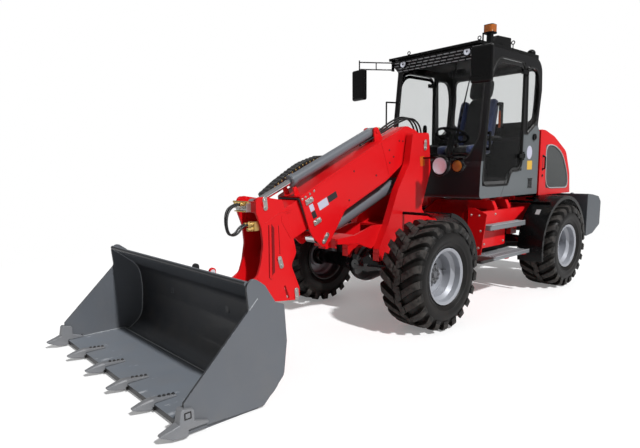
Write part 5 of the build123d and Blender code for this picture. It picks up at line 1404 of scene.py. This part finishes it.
# ------------------------------------------------------------------ cab
@dataclass
class CabDress:
    """Seals, trim, wiper, mirrors and fittings of the cab, placed ahead of the rear axle."""

    half: float = 0.590
    DOOR = ((1.352, 1.200), (1.292, 1.780), (1.230, 2.330), (1.100, 2.500), (0.525, 2.500),
            (0.525, 1.345), (0.755, 1.345), (0.812, 1.232), (0.830, 1.200))
    QUARTER = ((0.440, 1.735), (0.470, 2.470), (0.230, 2.470), (0.168, 2.250), (0.216, 1.880))
    WIND = ((-0.538, 1.700), (-0.530, 2.500), (0.530, 2.500), (0.538, 1.700), (0.420, 1.470),
            (-0.420, 1.470))
    REAR = ((-0.520, 1.900), (-0.520, 2.480), (0.520, 2.480), (0.520, 1.900))

    def front_x(self, z: np.ndarray) -> np.ndarray:
        """How far ahead the front face is at a height, along its leaning and bent line."""
        return np.interp(z, (1.075, 1.400, 1.650, 2.470, 2.580),
                         (1.395, 1.382, 1.340, 1.234, 1.234))

    def rear_x(self, z: np.ndarray) -> np.ndarray:
        """How far ahead the rear face is at a height."""
        return np.interp(z, (1.790, 1.850, 2.250, 2.480), (0.130, 0.172, 0.119, 0.132))

    def seals(self) -> None:
        """Rubber round the doors' openings, the quarter panes, the windscreen and the rear pane."""
        side = [hoop([rear(x, self.half + 0.001, z) for x, z in outline], 0.008, bend, (0, 1, 0))
                for outline, bend in ((self.DOOR, 0.11), (self.QUARTER, 0.10))]
        panes = ((self.front_x, 0.001, self.WIND), (self.rear_x, -0.001, self.REAR))
        wind = [hoop([rear(float(ahead(z)) + out, y, z) for y, z in outline],
                     0.008, 0.07, (1, 0, 0)) for ahead, out, outline in panes]
        put("window_seals", join([join(side).both(), *wind]), "rear", HOSE)

    def door_edges(self) -> None:
        """A black frit band round each door pane, as a thin flat strip on its outer face."""
        for name, way in (("left", 1), ("right", -1)):
            path = arc_path([(x, 0, z) for x, z in self.DOOR], 0.10, 8)[:, [0, 2]]
            outer = path + (path.mean(0) - path) * 0.02
            inner = path + (path.mean(0) - path) * 0.075
            y = self.half - 0.0035
            edges = ((outer, 0), (outer, MM), (inner, MM), (inner, 0))
            rings = np.stack([np.column_stack([edge[:, 0], np.full(len(edge), y + d), edge[:, 1]])
                              for edge, d in edges])
            shell = outward(stack(rings + REAR_AXLE, looped=True))
            shell = shell if way > 0 else shell.mirrored()
            put(f"{name}_door_edge", shell, f"door_{name}", FRIT)

    def wiper(self) -> None:
        """A pantograph wiper parked upright near the windscreen's left edge."""
        def spot(y: float, z: float, out: float) -> np.ndarray:
            """A place ahead of the windscreen."""
            return rear(float(self.front_x(z)) + out, y, z)

        #: places across, up and out from the glass, radius and sides of the arms and the blade
        runs = (
            (((0.30, 1.62, 0.030), (0.315, 1.78, 0.034), (0.335, 2.02, 0.030)), 0.0055, 8),
            (((0.275, 1.62, 0.028), (0.300, 1.85, 0.030), (0.322, 2.00, 0.028)), 0.004, 8),
            (((0.285, 1.70, 0.014), (0.330, 2.02, 0.018), (0.372, 2.31, 0.014)),
             (0.006, 0.009, 0.006), 6))
        bars = [tube([spot(*step) for step in run], radius, sides, (1, 0, 0))
                for run, radius, sides in runs]
        knob = lathe([(0.022, 0), (0.022, 0.022), (0.016, 0.030), (0, 0.031)], 20).turned(AHEAD)
        knob = knob.moved(spot(0.29, 1.62, 0.002))
        put("wiper", join([*bars, knob]), "rear", PLASTIC)

    def inside(self) -> None:
        """Headliner, inner mirror, side console, arm rest, dash, pedals, rear panel and lever."""
        liner = slab((0.18, -0.545, 2.556), (1.19, 0.545, 2.578), 0.006)
        mirror = plate(rounded(0.20, 0.085, 0.035, 5), 0.03, 0.008).turned(facing((-1, 0, -0.1)))
        stalk = tube([(1.12, 0.11, 2.56), (1.13, 0.11, 2.42)], 0.008, 8, (0, 1, 0))
        console = join([slab((0.58, -0.47, 1.108), (1.02, -0.29, 1.56), 0.02),
                        slab((0.64, -0.44, 1.56), (1.06, -0.31, 1.66), 0.025)])
        rest = slab((0.56, 0.285, 1.68), (0.86, 0.365, 1.735), 0.02)
        dash = slab((1.115, -0.20, 1.335), (1.275, 0.20, 1.50), 0.03)
        pods = join([slab((1.14, 0.30, 1.108), (1.30, 0.42, 1.34), 0.02),
                     slab((1.21, -0.34, 1.108), (1.33, -0.24, 1.24), 0.01)])
        panel = slab((0.30, -0.52, 1.108), (0.50, 0.52, 1.72), 0.03)
        lever = arc_path([(0.97, -0.37, 1.64), (0.99, -0.37, 1.74), (1.00, -0.37, 1.80)], 0.03)
        stick = tube(lever, 0.012, 10, (0, 1, 0))
        grip = lathe([(0.015, 0), (0.024, 0.02), (0.026, 0.06), (0.020, 0.10), (0, 0.112)], 16)
        grip = grip.moved((1.00, -0.37, 1.78))
        parts = [liner, mirror.moved((1.115, 0.11, 2.40)), stalk, console, rest, dash, pods,
                 panel, stick, grip]
        put("cab_interior", join(parts).moved(REAR_AXLE), "rear", TRIM)

    def guard(self) -> None:
        """The roof guard's leaning front: a plate from its edge down to the windscreen's head,
        with four staggered rows of oblong grip slots."""
        rise = np.array([0.150, 0.0, 0.100])
        rise /= np.linalg.norm(rise)
        axes = facing((0.100, 0.0, -0.150), tuple(rise))
        low = np.array([1.262, 0.0, 2.486])
        sheet = plate(rounded(1.120, 0.172, 0.010), 0.006, MM).turned(axes)
        sheet = sheet.moved(low + rise * 0.086).moved(REAR_AXLE)
        put("guard_front", sheet, "rear", PLASTIC)
        slot = plate(rounded(0.066, 0.013, 0.006), 0.004, 0.0012).turned(axes)
        spots = [low + rise * (0.022 + 0.042 * row) + (0, y + 0.040 * (row % 2), 0)
                 + axes[2] * 0.0055 for row in range(4) for y in np.arange(-0.52, 0.50, 0.080)]
        slots = copies(slot, spots).moved(REAR_AXLE)
        put("guard_slots", slots, "rear", GUARD_GREY)

    def labels(self) -> None:
        """Blank plates on the rear side panels, oval and square, the vent, the round cap and the
        seam below them."""
        y = self.half + 0.0003

        def blank(outline: np.ndarray, x: float, z: float) -> Shell:
            """A thin sheet on the left panel."""
            return plate(outline, 0.001, 0.0003).turned(OUT).moved(at(x, y, z))

        oval = blank(circle(32) * (0.064, 0.075), -2.075, 1.547)
        square = blank(rounded(0.120, 0.100, 0.006), -2.090, 1.405)
        put("cab_oval_plate", oval.both(), "rear", DECAL)
        put("cab_square_plate", square, "rear", YELLOW_DECAL)
        bars = [slab((-0.046, z, 0), (0.046, z + 0.010, 0.006), 0.0015)
                for z in np.arange(-0.040, 0.041, 0.016)]
        bars += [slab((-0.056, z, 0), (0.056, z + 0.006, 0.005), 0.001) for z in (-0.052, 0.050)]
        vent = join(bars).turned(OUT).moved(at(-2.112, y, 1.200))
        cap = lathe([(0.036, 0), (0.038, 0.004), (0.036, 0.018), (0.024, 0.020), (0.022, 0.014),
                     (0, 0.013)], 28)
        fittings = join([vent, cap.turned(OUT).moved(at(-2.165, y, 1.720))])
        put("cab_vent", fittings.both(), "rear", PLASTIC)
        seam = bead([at(-1.594, y, 1.333), at(-1.560, y, 1.240), at(-1.467, y, 1.084)], 0.0022)
        put("cab_seam", seam.both(), "rear", CAB_GREY)

    def mirror_glass(self) -> None:
        """The mirrors' glass, on their rear faces."""
        turn = math.radians(6)
        axes = facing((-math.cos(turn), -math.sin(turn), 0))
        middle = rear(1.710, 0.760, 2.330) + (-0.0305 * math.cos(turn), -0.0305 * math.sin(turn), 0)
        glass = plate(rounded(0.160, 0.290, 0.022, 5), 0.0015, 0.0005).turned(axes).moved(middle)
        put("mirror_glass", glass.both(), "rear", CHROME)

    def build(self) -> None:
        """All of the cab's dress."""
        self.seals()
        self.door_edges()
        self.wiper()
        self.inside()
        self.guard()
        self.labels()
        self.mirror_glass()


@dataclass
class Seat:
    """A sprung seat: padded cushion and back with blue bolsters, headrest and an orange belt."""

    rings: int = 22                    # from pole to pole of a pad
    power: float = 0.34                # a pad's squareness: 1 is a ball, 0 a block

    def pad(self, size: Vec3, crown: float) -> Shell:
        """A closed pad: a rounded block whose faces swell and whose sides pull in between corners.

        Each point of a sphere's grid is raised to a superellipse: p = sign(s)|s|^e times half
        the size, and the faces rise by crown times (1 - a^2)(1 - b^2) of their own square.

        Args:
            size: its full size.
            crown: how far the faces swell.

        Returns:
            The shell round the origin.
        """
        lat = np.linspace(-math.pi / 2, math.pi / 2, self.rings + 1)[1:-1, None]
        lon = np.arange(2 * self.rings)[None] * TURN / (2 * self.rings)
        ball = np.stack([np.cos(lat) * np.cos(lon), np.cos(lat) * np.sin(lon),
                         np.sin(lat) + 0 * lon], -1)
        block = np.sign(ball) * np.abs(ball) ** self.power
        block /= np.maximum(np.abs(block).max(-1, keepdims=True), 1.0)
        a, b, c = (block[..., i] for i in range(3))
        swell = np.stack([a * (1 - b**2) * (1 - c**2), b * (1 - a**2) * (1 - c**2),
                          c * (1 - a**2) * (1 - b**2)], -1)
        return stack(block * (np.array(size) / 2 - crown) + swell * crown)

    def cushioned(self, name: str, shell: Shell, node: str | None, finish: Finish) -> None:
        """A pad, which may stand for a CAD solid, smoothed once more."""
        piece = put(name, shell, "rear", finish, Shading.SMOOTH)
        smooth = piece.modifiers.new("soft", "SUBSURF")
        smooth.levels = smooth.render_levels = 1
        if node:
            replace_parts(piece, node)

    def build(self) -> None:
        """Cushion, back, headrest, bolsters and belt."""
        lean = math.radians(14)
        tilt = np.array([(math.cos(lean), 0, math.sin(lean)), (0, 1, 0),
                         (-math.sin(lean), 0, math.cos(lean))])
        #: name, node that it replaces, finish, filling, size, crown, place, and whether it leans
        pads = (
            ("seat_cushion_pad", "seat_cushion", SEAT_BLACK, 0.7, (0.440, 0.300, 0.112), 0.012,
             (0.755, 0, 1.587), False),
            ("seat_cushion_bolsters", None, SEAT_BLUE, 0.8, (0.430, 0.105, 0.118), 0.010,
             (0.755, 0.188, 1.588), False),
            ("seat_back_pad", "seat_back", SEAT_BLACK, 0.7, (0.118, 0.290, 0.600), 0.014,
             (0.482, 0, 1.905), True),
            ("seat_back_bolsters", None, SEAT_BLUE, 0.8, (0.138, 0.105, 0.560), 0.012,
             (0.498, 0.182, 1.900), True),
            ("headrest_pad", None, SEAT_BLACK, 0.8, (0.110, 0.290, 0.250), 0.014,
             (0.400, 0, 2.300), True),
        )
        for name, node, finish, filling, size, crown, middle, leaning in pads:
            pad = self.pad(size, crown)
            pad = (pad.turned(tilt) if leaning else pad).moved(middle)
            pad = pad.both() if middle[1] else pad
            self.cushioned(name, pad.moved(REAR_AXLE), node, finish)
        stems = [tube([(0.425, y, 2.16), (0.413, y, 2.26)], 0.007, 10, (1, 0, 0))
                 for y in (-0.06, 0.06)]
        put("headrest_stems", join(stems).moved(REAR_AXLE), "rear", CHROME)
        path = arc_path([(0.447, 0.262, 2.03), (0.447, 0.262, 1.96), (0.446, 0.262, 1.90),
                         (0.446, 0.262, 1.84)], 0.02)
        half = np.array([0.0, 0.012, 0.0])
        wide = np.array([0.004, 0, 0.0])
        rings = np.stack([path - wide - half, path + wide - half, path + wide + half,
                          path - wide + half], 1)
        put("seat_belt", outward(stack(rings)).moved(REAR_AXLE), "rear", ORANGE_BELT)
        post = join([slab((0.395, 0.246, 1.55), (0.440, 0.278, 2.13), 0.008),
                     slab((0.395, 0.225, 2.09), (0.450, 0.278, 2.13), 0.008)])
        put("belt_guide", post.moved(REAR_AXLE), "rear", PLASTIC)


# ------------------------------------------------------------------ hood, steps and chassis
@dataclass
class HoodDress:
    """Woven wire in the side grilles with its pale edge, the handle and the lock."""

    half: float = 0.594
    pitch: float = 0.014
    OUTLINE = ((-0.068, 1.132), (-0.038, 1.640), (-0.270, 1.640), (-0.495, 1.540), (-0.660, 1.300),
               (-0.688, 1.118))

    def weave(self) -> None:
        """Two sets of wires, each a sine wave over and under the other, clipped to the opening."""
        outline = np.array(self.OUTLINE)
        ends = np.roll(outline, -1, 0)

        def span(level: float, axis: int) -> np.ndarray:
            """Where a line at a level crosses the outline, lowest and highest."""
            a, b = outline[:, axis], ends[:, axis]
            hit = (a - level) * (b - level) < 0
            share = (level - a[hit]) / (b[hit] - a[hit])
            other = 1 - axis
            cross = outline[hit, other] + share * (ends[hit, other] - outline[hit, other])
            return np.array([cross.min() + 0.004, cross.max() - 0.004])

        wires = []
        for axis in (0, 1):
            low, high = outline[:, axis].min(), outline[:, axis].max()
            for k, level in enumerate(np.arange(low + self.pitch, high - 0.004, self.pitch)):
                start, end = span(level, axis)
                if end - start < 2 * self.pitch:
                    continue
                t = np.arange(start, end, self.pitch / 2)
                swing = np.cos(t / self.pitch * math.pi + (k % 2) * math.pi)
                wave = 0.0016 * swing * (1 if axis else -1)
                line = np.stack([t, self.half + wave, np.full(len(t), level)] if axis else
                                [np.full(len(t), level), self.half + wave, t], -1)
                wires.append(tube(line, 0.0019, 4, (0.2, 1, 0.2)))
        mesh = join(wires).both().moved(REAR_AXLE)
        put("grille_wires", mesh, "hood", WIRE_GREY, Shading.FLAT)

    def edge(self) -> None:
        """The pale rubber edge round each grille."""
        ring = hoop([rear(x, 0.6005, z) for x, z in self.OUTLINE], 0.0075, 0.13, (0, 1, 0))
        put("grille_edges", ring.both(), "hood", PALE_TRIM)

    def hardware(self) -> None:
        """A C-shaped handle and a round lock on each side."""
        grip = arc_path([(0.030, y, z) for y, z in (
            (0.600, 1.505), (0.628, 1.500), (0.628, 1.362), (0.600, 1.357))], 0.014)
        bar = tube(grip, 0.0085, 10, (1, 0, 0))
        feet = [slab((0.016, 0.5995, z - 0.013), (0.044, 0.6045, z + 0.013), 0.0015)
                for z in (1.508, 1.354)]
        lock = lathe([(0.016, 0), (0.016, 0.004), (0.010, 0.006), (0, 0.006)], 20).turned(OUT)
        shell = join([bar, *feet, lock.moved((0.030, 0.600, 1.28))]).both()
        put("hood_handles", shell.moved(REAR_AXLE), "hood", PLASTIC)

    def build(self) -> None:
        """All of the hood's dress."""
        self.weave()
        self.edge()
        self.hardware()


@dataclass
class StepDress:
    """Grip strips on the treads: upright plates whose top edge is a row of teeth."""

    pitch: float = 0.022
    tooth: float = 0.012
    thickness: float = 0.003

    def strip(self, start: float, end: float, y: float, z: float) -> Shell:
        """One strip along x: its top runs z + tooth times a triangle wave."""
        count = int((end - start) / self.pitch * 2)
        x = np.linspace(start, end, count + 1)
        top = z + self.tooth * (0.25 + 0.75 * (np.arange(count + 1) % 2))
        foot = np.full_like(x, z - MM)
        rings = np.stack([np.stack([x, np.full_like(x, y + side * self.thickness / 2), level], -1)
                          for side, level in ((-1, foot), (-1, top), (1, top), (1, foot))], 1)
        return outward(stack(rings))

    def build(self) -> None:
        """Three toothed strips on each lower tread, two on each upper one, and holes' rims
        between."""
        low, high = TREADS
        strips = [self.strip(0.605, 1.330, y, low) for y in (0.522, 0.640, 0.758)]
        strips += [self.strip(0.580, 1.300, y, high) for y in (0.606, 0.686)]
        cup = lathe([(0.013, 0), (0.013, 0.003), (0.009, 0.0055), (0.007, 0.003),
                     (0.0068, 0.0005)], 12)
        rows = ((low, 0.63, 1.32, np.linspace(0.541, 0.735, 6)),
                (high, 0.60, 1.30, (0.619, 0.645, 0.671)))
        grid = [(x, y, z) for z, start, end, across in rows
                for x in np.arange(start, end, 0.046) for y in across]
        shell = join([*strips, copies(cup, grid)]).both()
        put("step_grips", shell.moved(REAR_AXLE), "rear", GRIP_GREY, Shading.FLAT)


@dataclass
class BucketDress:
    """Bolted teeth, their heads and corner clamps, and the welds."""

    half: float = 1.010
    teeth: tuple[float, ...] = (-0.5868, -0.1956, 0.1956, 0.5868)

    #: an inner tooth's stations: ahead of the pivot, half width, top, bottom
    TOOTH = ((0.772, 0.022, -0.3405, -0.3515), (0.888, 0.026, -0.3265, -0.3515),
             (0.9215, 0.029, -0.3225, -0.3515), (0.9235, 0.029, -0.3220, -0.3850),
             (0.945, 0.028, -0.3230, -0.3880), (0.995, 0.022, -0.3330, -0.3780),
             (1.040, 0.0160, -0.3460, -0.3630), (1.047, 0.0145, -0.3495, -0.3580))
    CUTTER = ((0.800, -0.3515), (0.922, -0.3515), (0.923, -0.386), (0.950, -0.390), (1.010, -0.380),
              (1.072, -0.352), (1.079, -0.345), (1.074, -0.338), (1.010, -0.321), (0.974, -0.308),
              (0.962, -0.240), (0.950, -0.229), (0.892, -0.241), (0.885, -0.252), (0.884, -0.312),
              (0.800, -0.338))

    def tips(self) -> None:
        """The teeth: chamfered sections carried forward, four inner ones and two corner cutters.

        An inner tooth's ring at a station is its half width and its top and bottom heights, with
        the corners cut by a seventh. A cutter is its outline with thickness, drawn in to half its
        width over the last 90 mm."""
        x, half, top, low = np.array(self.TOOTH).T[:, :, None]
        side = np.array([-1, -0.72, 0.72, 1, 1, 0.72, -0.72, -1])
        rise = np.array([0.14, 0, 0, 0.14, 0.86, 1, 1, 0.86])
        rings = np.stack([np.broadcast_to(x, (len(x), 8)), half * side,
                          low + (top - low) * rise], -1)
        inner = copies(stack(rings), [(0, y, 0) for y in self.teeth])
        outline = (np.array(self.CUTTER) * (-1, 1))[::-1]
        cutter = plate(outline, 0.062, 0.004).turned(OUT).moved((0, 0.9705, 0))
        points, middle = cutter.points.copy(), self.half - 0.0085
        slim = np.interp(points[:, 0], (0.99, 1.08), (1.0, 0.5))
        points[:, 1] = middle + (points[:, 1] - middle) * slim
        corner = Shell(points, cutter.quads, cutter.triangles).both()
        teeth = join([inner, corner]).moved(COUPLER)
        piece = put("bolted_teeth", teeth, "attachment", TOOTH_GREY)
        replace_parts(piece, "bucket_teeth")

    def bolts(self) -> None:
        """Four heads in a row on each inner tooth's strap, and three on each corner cutter's."""
        head = bolt(0.014)
        strap = [(x, y, -0.3395 + (x - 0.772) * 0.12) for y in self.teeth
                 for x in (0.785, 0.815, 0.845, 0.875)]
        corner = [COUPLER + (x, 0.982, -0.337) for x in (0.812, 0.840, 0.868)]
        heads = join([copies(head, COUPLER + np.array(strap)), copies(head, corner).both()])
        put("tooth_bolts", heads, "attachment", DARK_STEEL)

    def clamps(self) -> None:
        """A square locking block on each corner cutter with a black border round it as painted
        shade, and a black block beside each tooth's root as painted shade."""
        seat, core = (
            plate(rounded(width, height, bend), thick, 0.0004).turned(OUT).moved((0.924, y, -0.270))
            for width, height, bend, thick, y in ((0.044, 0.042, 0.005, 0.0012, 1.0322),
                                                  (0.028, 0.026, 0.004, 0.0014, 1.0325)))
        # painted shade: black blocks beside the tooth roots and black borders round the clamp
        # blocks
        tooth_root_shades = join([slab((0.905, y + 0.026, -0.3870), (0.934, y + 0.040, -0.3660), 0.002)
                       for y in self.teeth])
        clamps = join([tooth_root_shades, seat.both()]).moved(COUPLER)
        put("tooth_painted_shade", clamps, "attachment", FRIT)
        put("clamp_blocks", core.both().moved(COUPLER), "attachment", TOOTH_GREY)

    def welds(self) -> None:
        """Beads inside the side plates along the rolled sheet, under the edge plate and on the
        lobes."""
        y = self.half - 0.017
        inner = [(0.500, y, 0.352), (0.276, y, 0.184), (0.252, y, -0.015), (0.276, y, -0.275),
                 (0.405, y, -0.371), (0.440, y, -0.350), (0.900, y, -0.350)]
        lobe = [COUPLER + (x, self.half + 0.0003, z) for x, z in ((0.435, 0.273), (0.496, 0.213))]
        runs = [bead(list(arc_path(inner, 0.11, 8) + COUPLER), 0.0045), bead(lobe, 0.0035)]
        seam = bead([COUPLER + (0.446, end, -0.3505) for end in (-0.98, 0.98)], 0.0035)
        welds = join([join(runs).both(), seam])
        put("bucket_welds", welds, "attachment", WELD_GREY)

    def build(self) -> None:
        """All of the bucket's dress."""
        self.tips()
        self.bolts()
        self.clamps()
        self.welds()


@dataclass
class ChassisDress:
    """Reflectors, bolts and small plates of the front and rear frames."""

    def build(self) -> None:
        """Side reflectors on the tower, bolts on the skirts and the counterweight, and the rear
        fenders' plates."""
        leaning = facing((0, 1, 0), (0.15, 0, 1))
        tile = plate(rounded(0.070, 0.095, 0.006), 0.003, MM).turned(leaning)
        tiles = tile.moved(at(-0.550, 0.2402, 1.462)).both()
        put("tower_reflectors", tiles, "front", ORANGE_TILE)
        head = bolt(0.017)
        side = [rear(x, 0.6002, z)
                for x, z in ((1.290, 0.90), (1.290, 0.60), (0.90, 0.60), (1.08, 0.90))]
        face = [rear(1.3302, y, z)
                for y, z in ((0.47, 0.90), (0.56, 0.90), (0.47, 0.56), (0.56, 0.56), (0.58, 0.74))]
        shell = join([copies(head.turned(OUT), side), copies(head.turned(AHEAD), face)])
        put("skirt_bolts", shell.both(), "rear", ZINC)
        eye = lathe([(0.020, 0), (0.020, 0.010), (0.012, 0.016), (0, 0.017)], 16)
        eyes = copies(eye, [rear(-0.80, y, 1.0302) for y in (-0.62, 0.62)])
        put("weight_bolts", eyes, "rear", DARK_STEEL)
        fender = plate(rounded(0.05, 0.07, 0.004), 0.002, 0.0005).turned(facing((0.75, 0.0, 0.66)))
        reach = 0.4085                                  # ahead of and above the rear axle
        spot = rear(reach, 0.745, WHEEL_RADIUS + reach)
        put("fender_plates", fender.moved(spot).both(), "rear", PALE_TRIM)


# ------------------------------------------------------------------ studio
@dataclass
class Studio:
    """A pale floor, a key lamp from the machine's left, a dim surround and the camera."""

    eye: Vec3 = (3.758, 3.378, 1.413)
    heading: float = -130.95          # degrees from +X, towards which it looks
    dip: float = -8.25                # degrees
    roll: float = -0.92               # degrees
    lens: float = 29.08               # millimetres on a 36 mm sensor
    shift: tuple[float, float] = (0.0267, 0.0297)
    world: float = 0.17
    glossy: float = 0.10               # how much of the white surround a reflection sees
    lift: float = 0.2                  # light that the floor adds where it is seen
    edge: tuple[float, float] = (3.2, 6.0)      # from here to there the floor turns white
    #: name, direction towards it, strength, and how wide it looks in degrees
    suns: tuple[tuple[str, Vec3, float, float], ...] = (
        ("key", (0.02, 1.0, 1.05), 3.55, 3.0),
        ("fill", (1.0, -0.35, 0.75), 0.22, 40.0),
        ("back", (-1.0, -0.5, 0.8), 0.45, 40.0),
    )

    def build(self) -> None:
        """Sets up the view, the world, the floor, the lamps and the camera."""
        scene = bpy.context.scene
        scene.view_settings.view_transform = "Standard"
        self.lit_world(scene)
        self.floor()
        for name, way, strength, width in self.suns:
            self.sun(name, way, strength, width)
        self.camera(scene)

    def lit_world(self, scene: bpy.types.Scene) -> None:
        """A grey surround for light, white where the camera, a mirror or glass sees it."""
        scene.world = bpy.data.worlds.new("studio")
        scene.world.use_nodes = True
        net = Net(scene.world.node_tree)
        net.tree.nodes.clear()
        mirrored = net.add("LightPath").outputs["Is Glossy Ray"]
        seen = net.math("ADD", net.seen(), net.math("MULTIPLY", mirrored, self.glossy), True)
        strength = net.math("ADD", net.math("MULTIPLY", seen, 1.0 - self.world), self.world)
        surface = net.add("Background", {"Color": WHITE, "Strength": strength})
        net.add("OutputWorld", {0: surface.outputs[0]})

    def floor(self) -> None:
        """A wide disc as rings of points at growing radius, closed in the middle."""
        reach = np.geomspace(0.3, 60.0, 24)
        rim = circle(96)
        rings = np.concatenate([reach[:, None, None] * rim[None],
                                np.zeros((len(reach), len(rim), 1))], -1)
        shell = stack(rings[::-1])
        inside = shell.triangles[len(shell.triangles) // 2:]
        mesh = bpy.data.meshes.new("floor")
        mesh.from_pydata((shell.points - (0, 0, MM)).tolist(), [],
                         shell.quads.tolist() + inside.tolist())
        floor = bpy.data.objects.new("floor", mesh)
        bpy.context.scene.collection.objects.link(floor)
        floor.data.materials.append(self.floor_paint())

    def floor_paint(self) -> bpy.types.Material:
        """Matt pale paint that takes shadows, and plain white light beyond a few metres."""
        paint = bpy.data.materials.new("floor_paint")
        paint.use_nodes = True
        net = Net(paint.node_tree)
        net.tree.nodes.clear()
        far = net.band(net.vector("LENGTH", net.place())["Value"], *self.edge)
        seen = net.seen()
        tone = net.mix(net.noise(2.0), (0.80, 0.80, 0.80, 1), (0.84, 0.84, 0.84, 1))
        matt = net.add("BsdfDiffuse", {"Color": tone})
        white = net.add("Emission", {"Color": WHITE, "Strength": 1.0})
        glow = net.add("Emission",
                       {"Color": WHITE, "Strength": net.math("MULTIPLY", seen, self.lift)})
        lifted = net.add("AddShader", {0: matt.outputs[0], 1: glow.outputs[0]})
        pick = net.add("MixShader", {0: net.math("MULTIPLY", far, seen), 1: lifted.outputs[0],
                                     2: white.outputs[0]})
        net.add("OutputMaterial", {0: pick.outputs[0]})
        return paint

    def sun(self, name: str, way: Vec3, strength: float, width: float) -> None:
        """One far lamp, from a direction, with shadows as soft as its width."""
        light = bpy.data.lights.new(name, "SUN")
        light.energy, light.angle = strength, math.radians(width)
        lamp = bpy.data.objects.new(name, light)
        bpy.context.scene.collection.objects.link(lamp)
        turn = np.eye(4)
        turn[:3, :3], turn[:3, 3] = facing(way).T, np.array(way) * 5
        lamp.matrix_world = Matrix(turn.tolist())

    def camera(self, scene: bpy.types.Scene) -> None:
        """The camera, with its own x, y and z worked out from heading, dip and roll."""
        h, p, r = (math.radians(v) for v in (self.heading, self.dip, self.roll))
        look = np.array([math.cos(h) * math.cos(p), math.sin(h) * math.cos(p), math.sin(p)])
        right = np.cross(look, (0, 0, 1))
        right /= np.linalg.norm(right)
        up = np.cross(right, look)
        side = math.cos(r) * right + math.sin(r) * up
        top = math.cos(r) * up - math.sin(r) * right
        turn = np.eye(4)
        turn[:3, :3], turn[:3, 3] = np.stack([side, top, -look], 1), at(*self.eye)
        data = bpy.data.cameras.new("camera")
        data.lens, data.sensor_width = self.lens, 36.0
        data.shift_x, data.shift_y = self.shift
        camera = bpy.data.objects.new("camera", data)
        scene.collection.objects.link(camera)
        camera.matrix_world = Matrix(turn.tolist())
        scene.camera = camera


def main() -> None:
    """Builds every sub-assembly in order."""
    logging.basicConfig(level=logging.INFO, format="%(name)s: %(message)s")
    Studio().build()
    finish_nodes()
    HeadDress().build()
    TowerHoses().build()
    for name in WHEEL_NAMES:
        hub = np.array(JOINTS[f"{name}_wheel_spin"]["pos_m"])
        Wheel(hub, 1 if "left" in name else -1).build(name)
    for dress in (PinLocks(), BoomDress(), ChainDress(), CylinderDress(), CabDress(), Seat(),
                  HoodDress(), StepDress(), BucketDress(), ChassisDress()):
        dress.build()
    build_lamps()


if __name__ == "__main__":
    main()
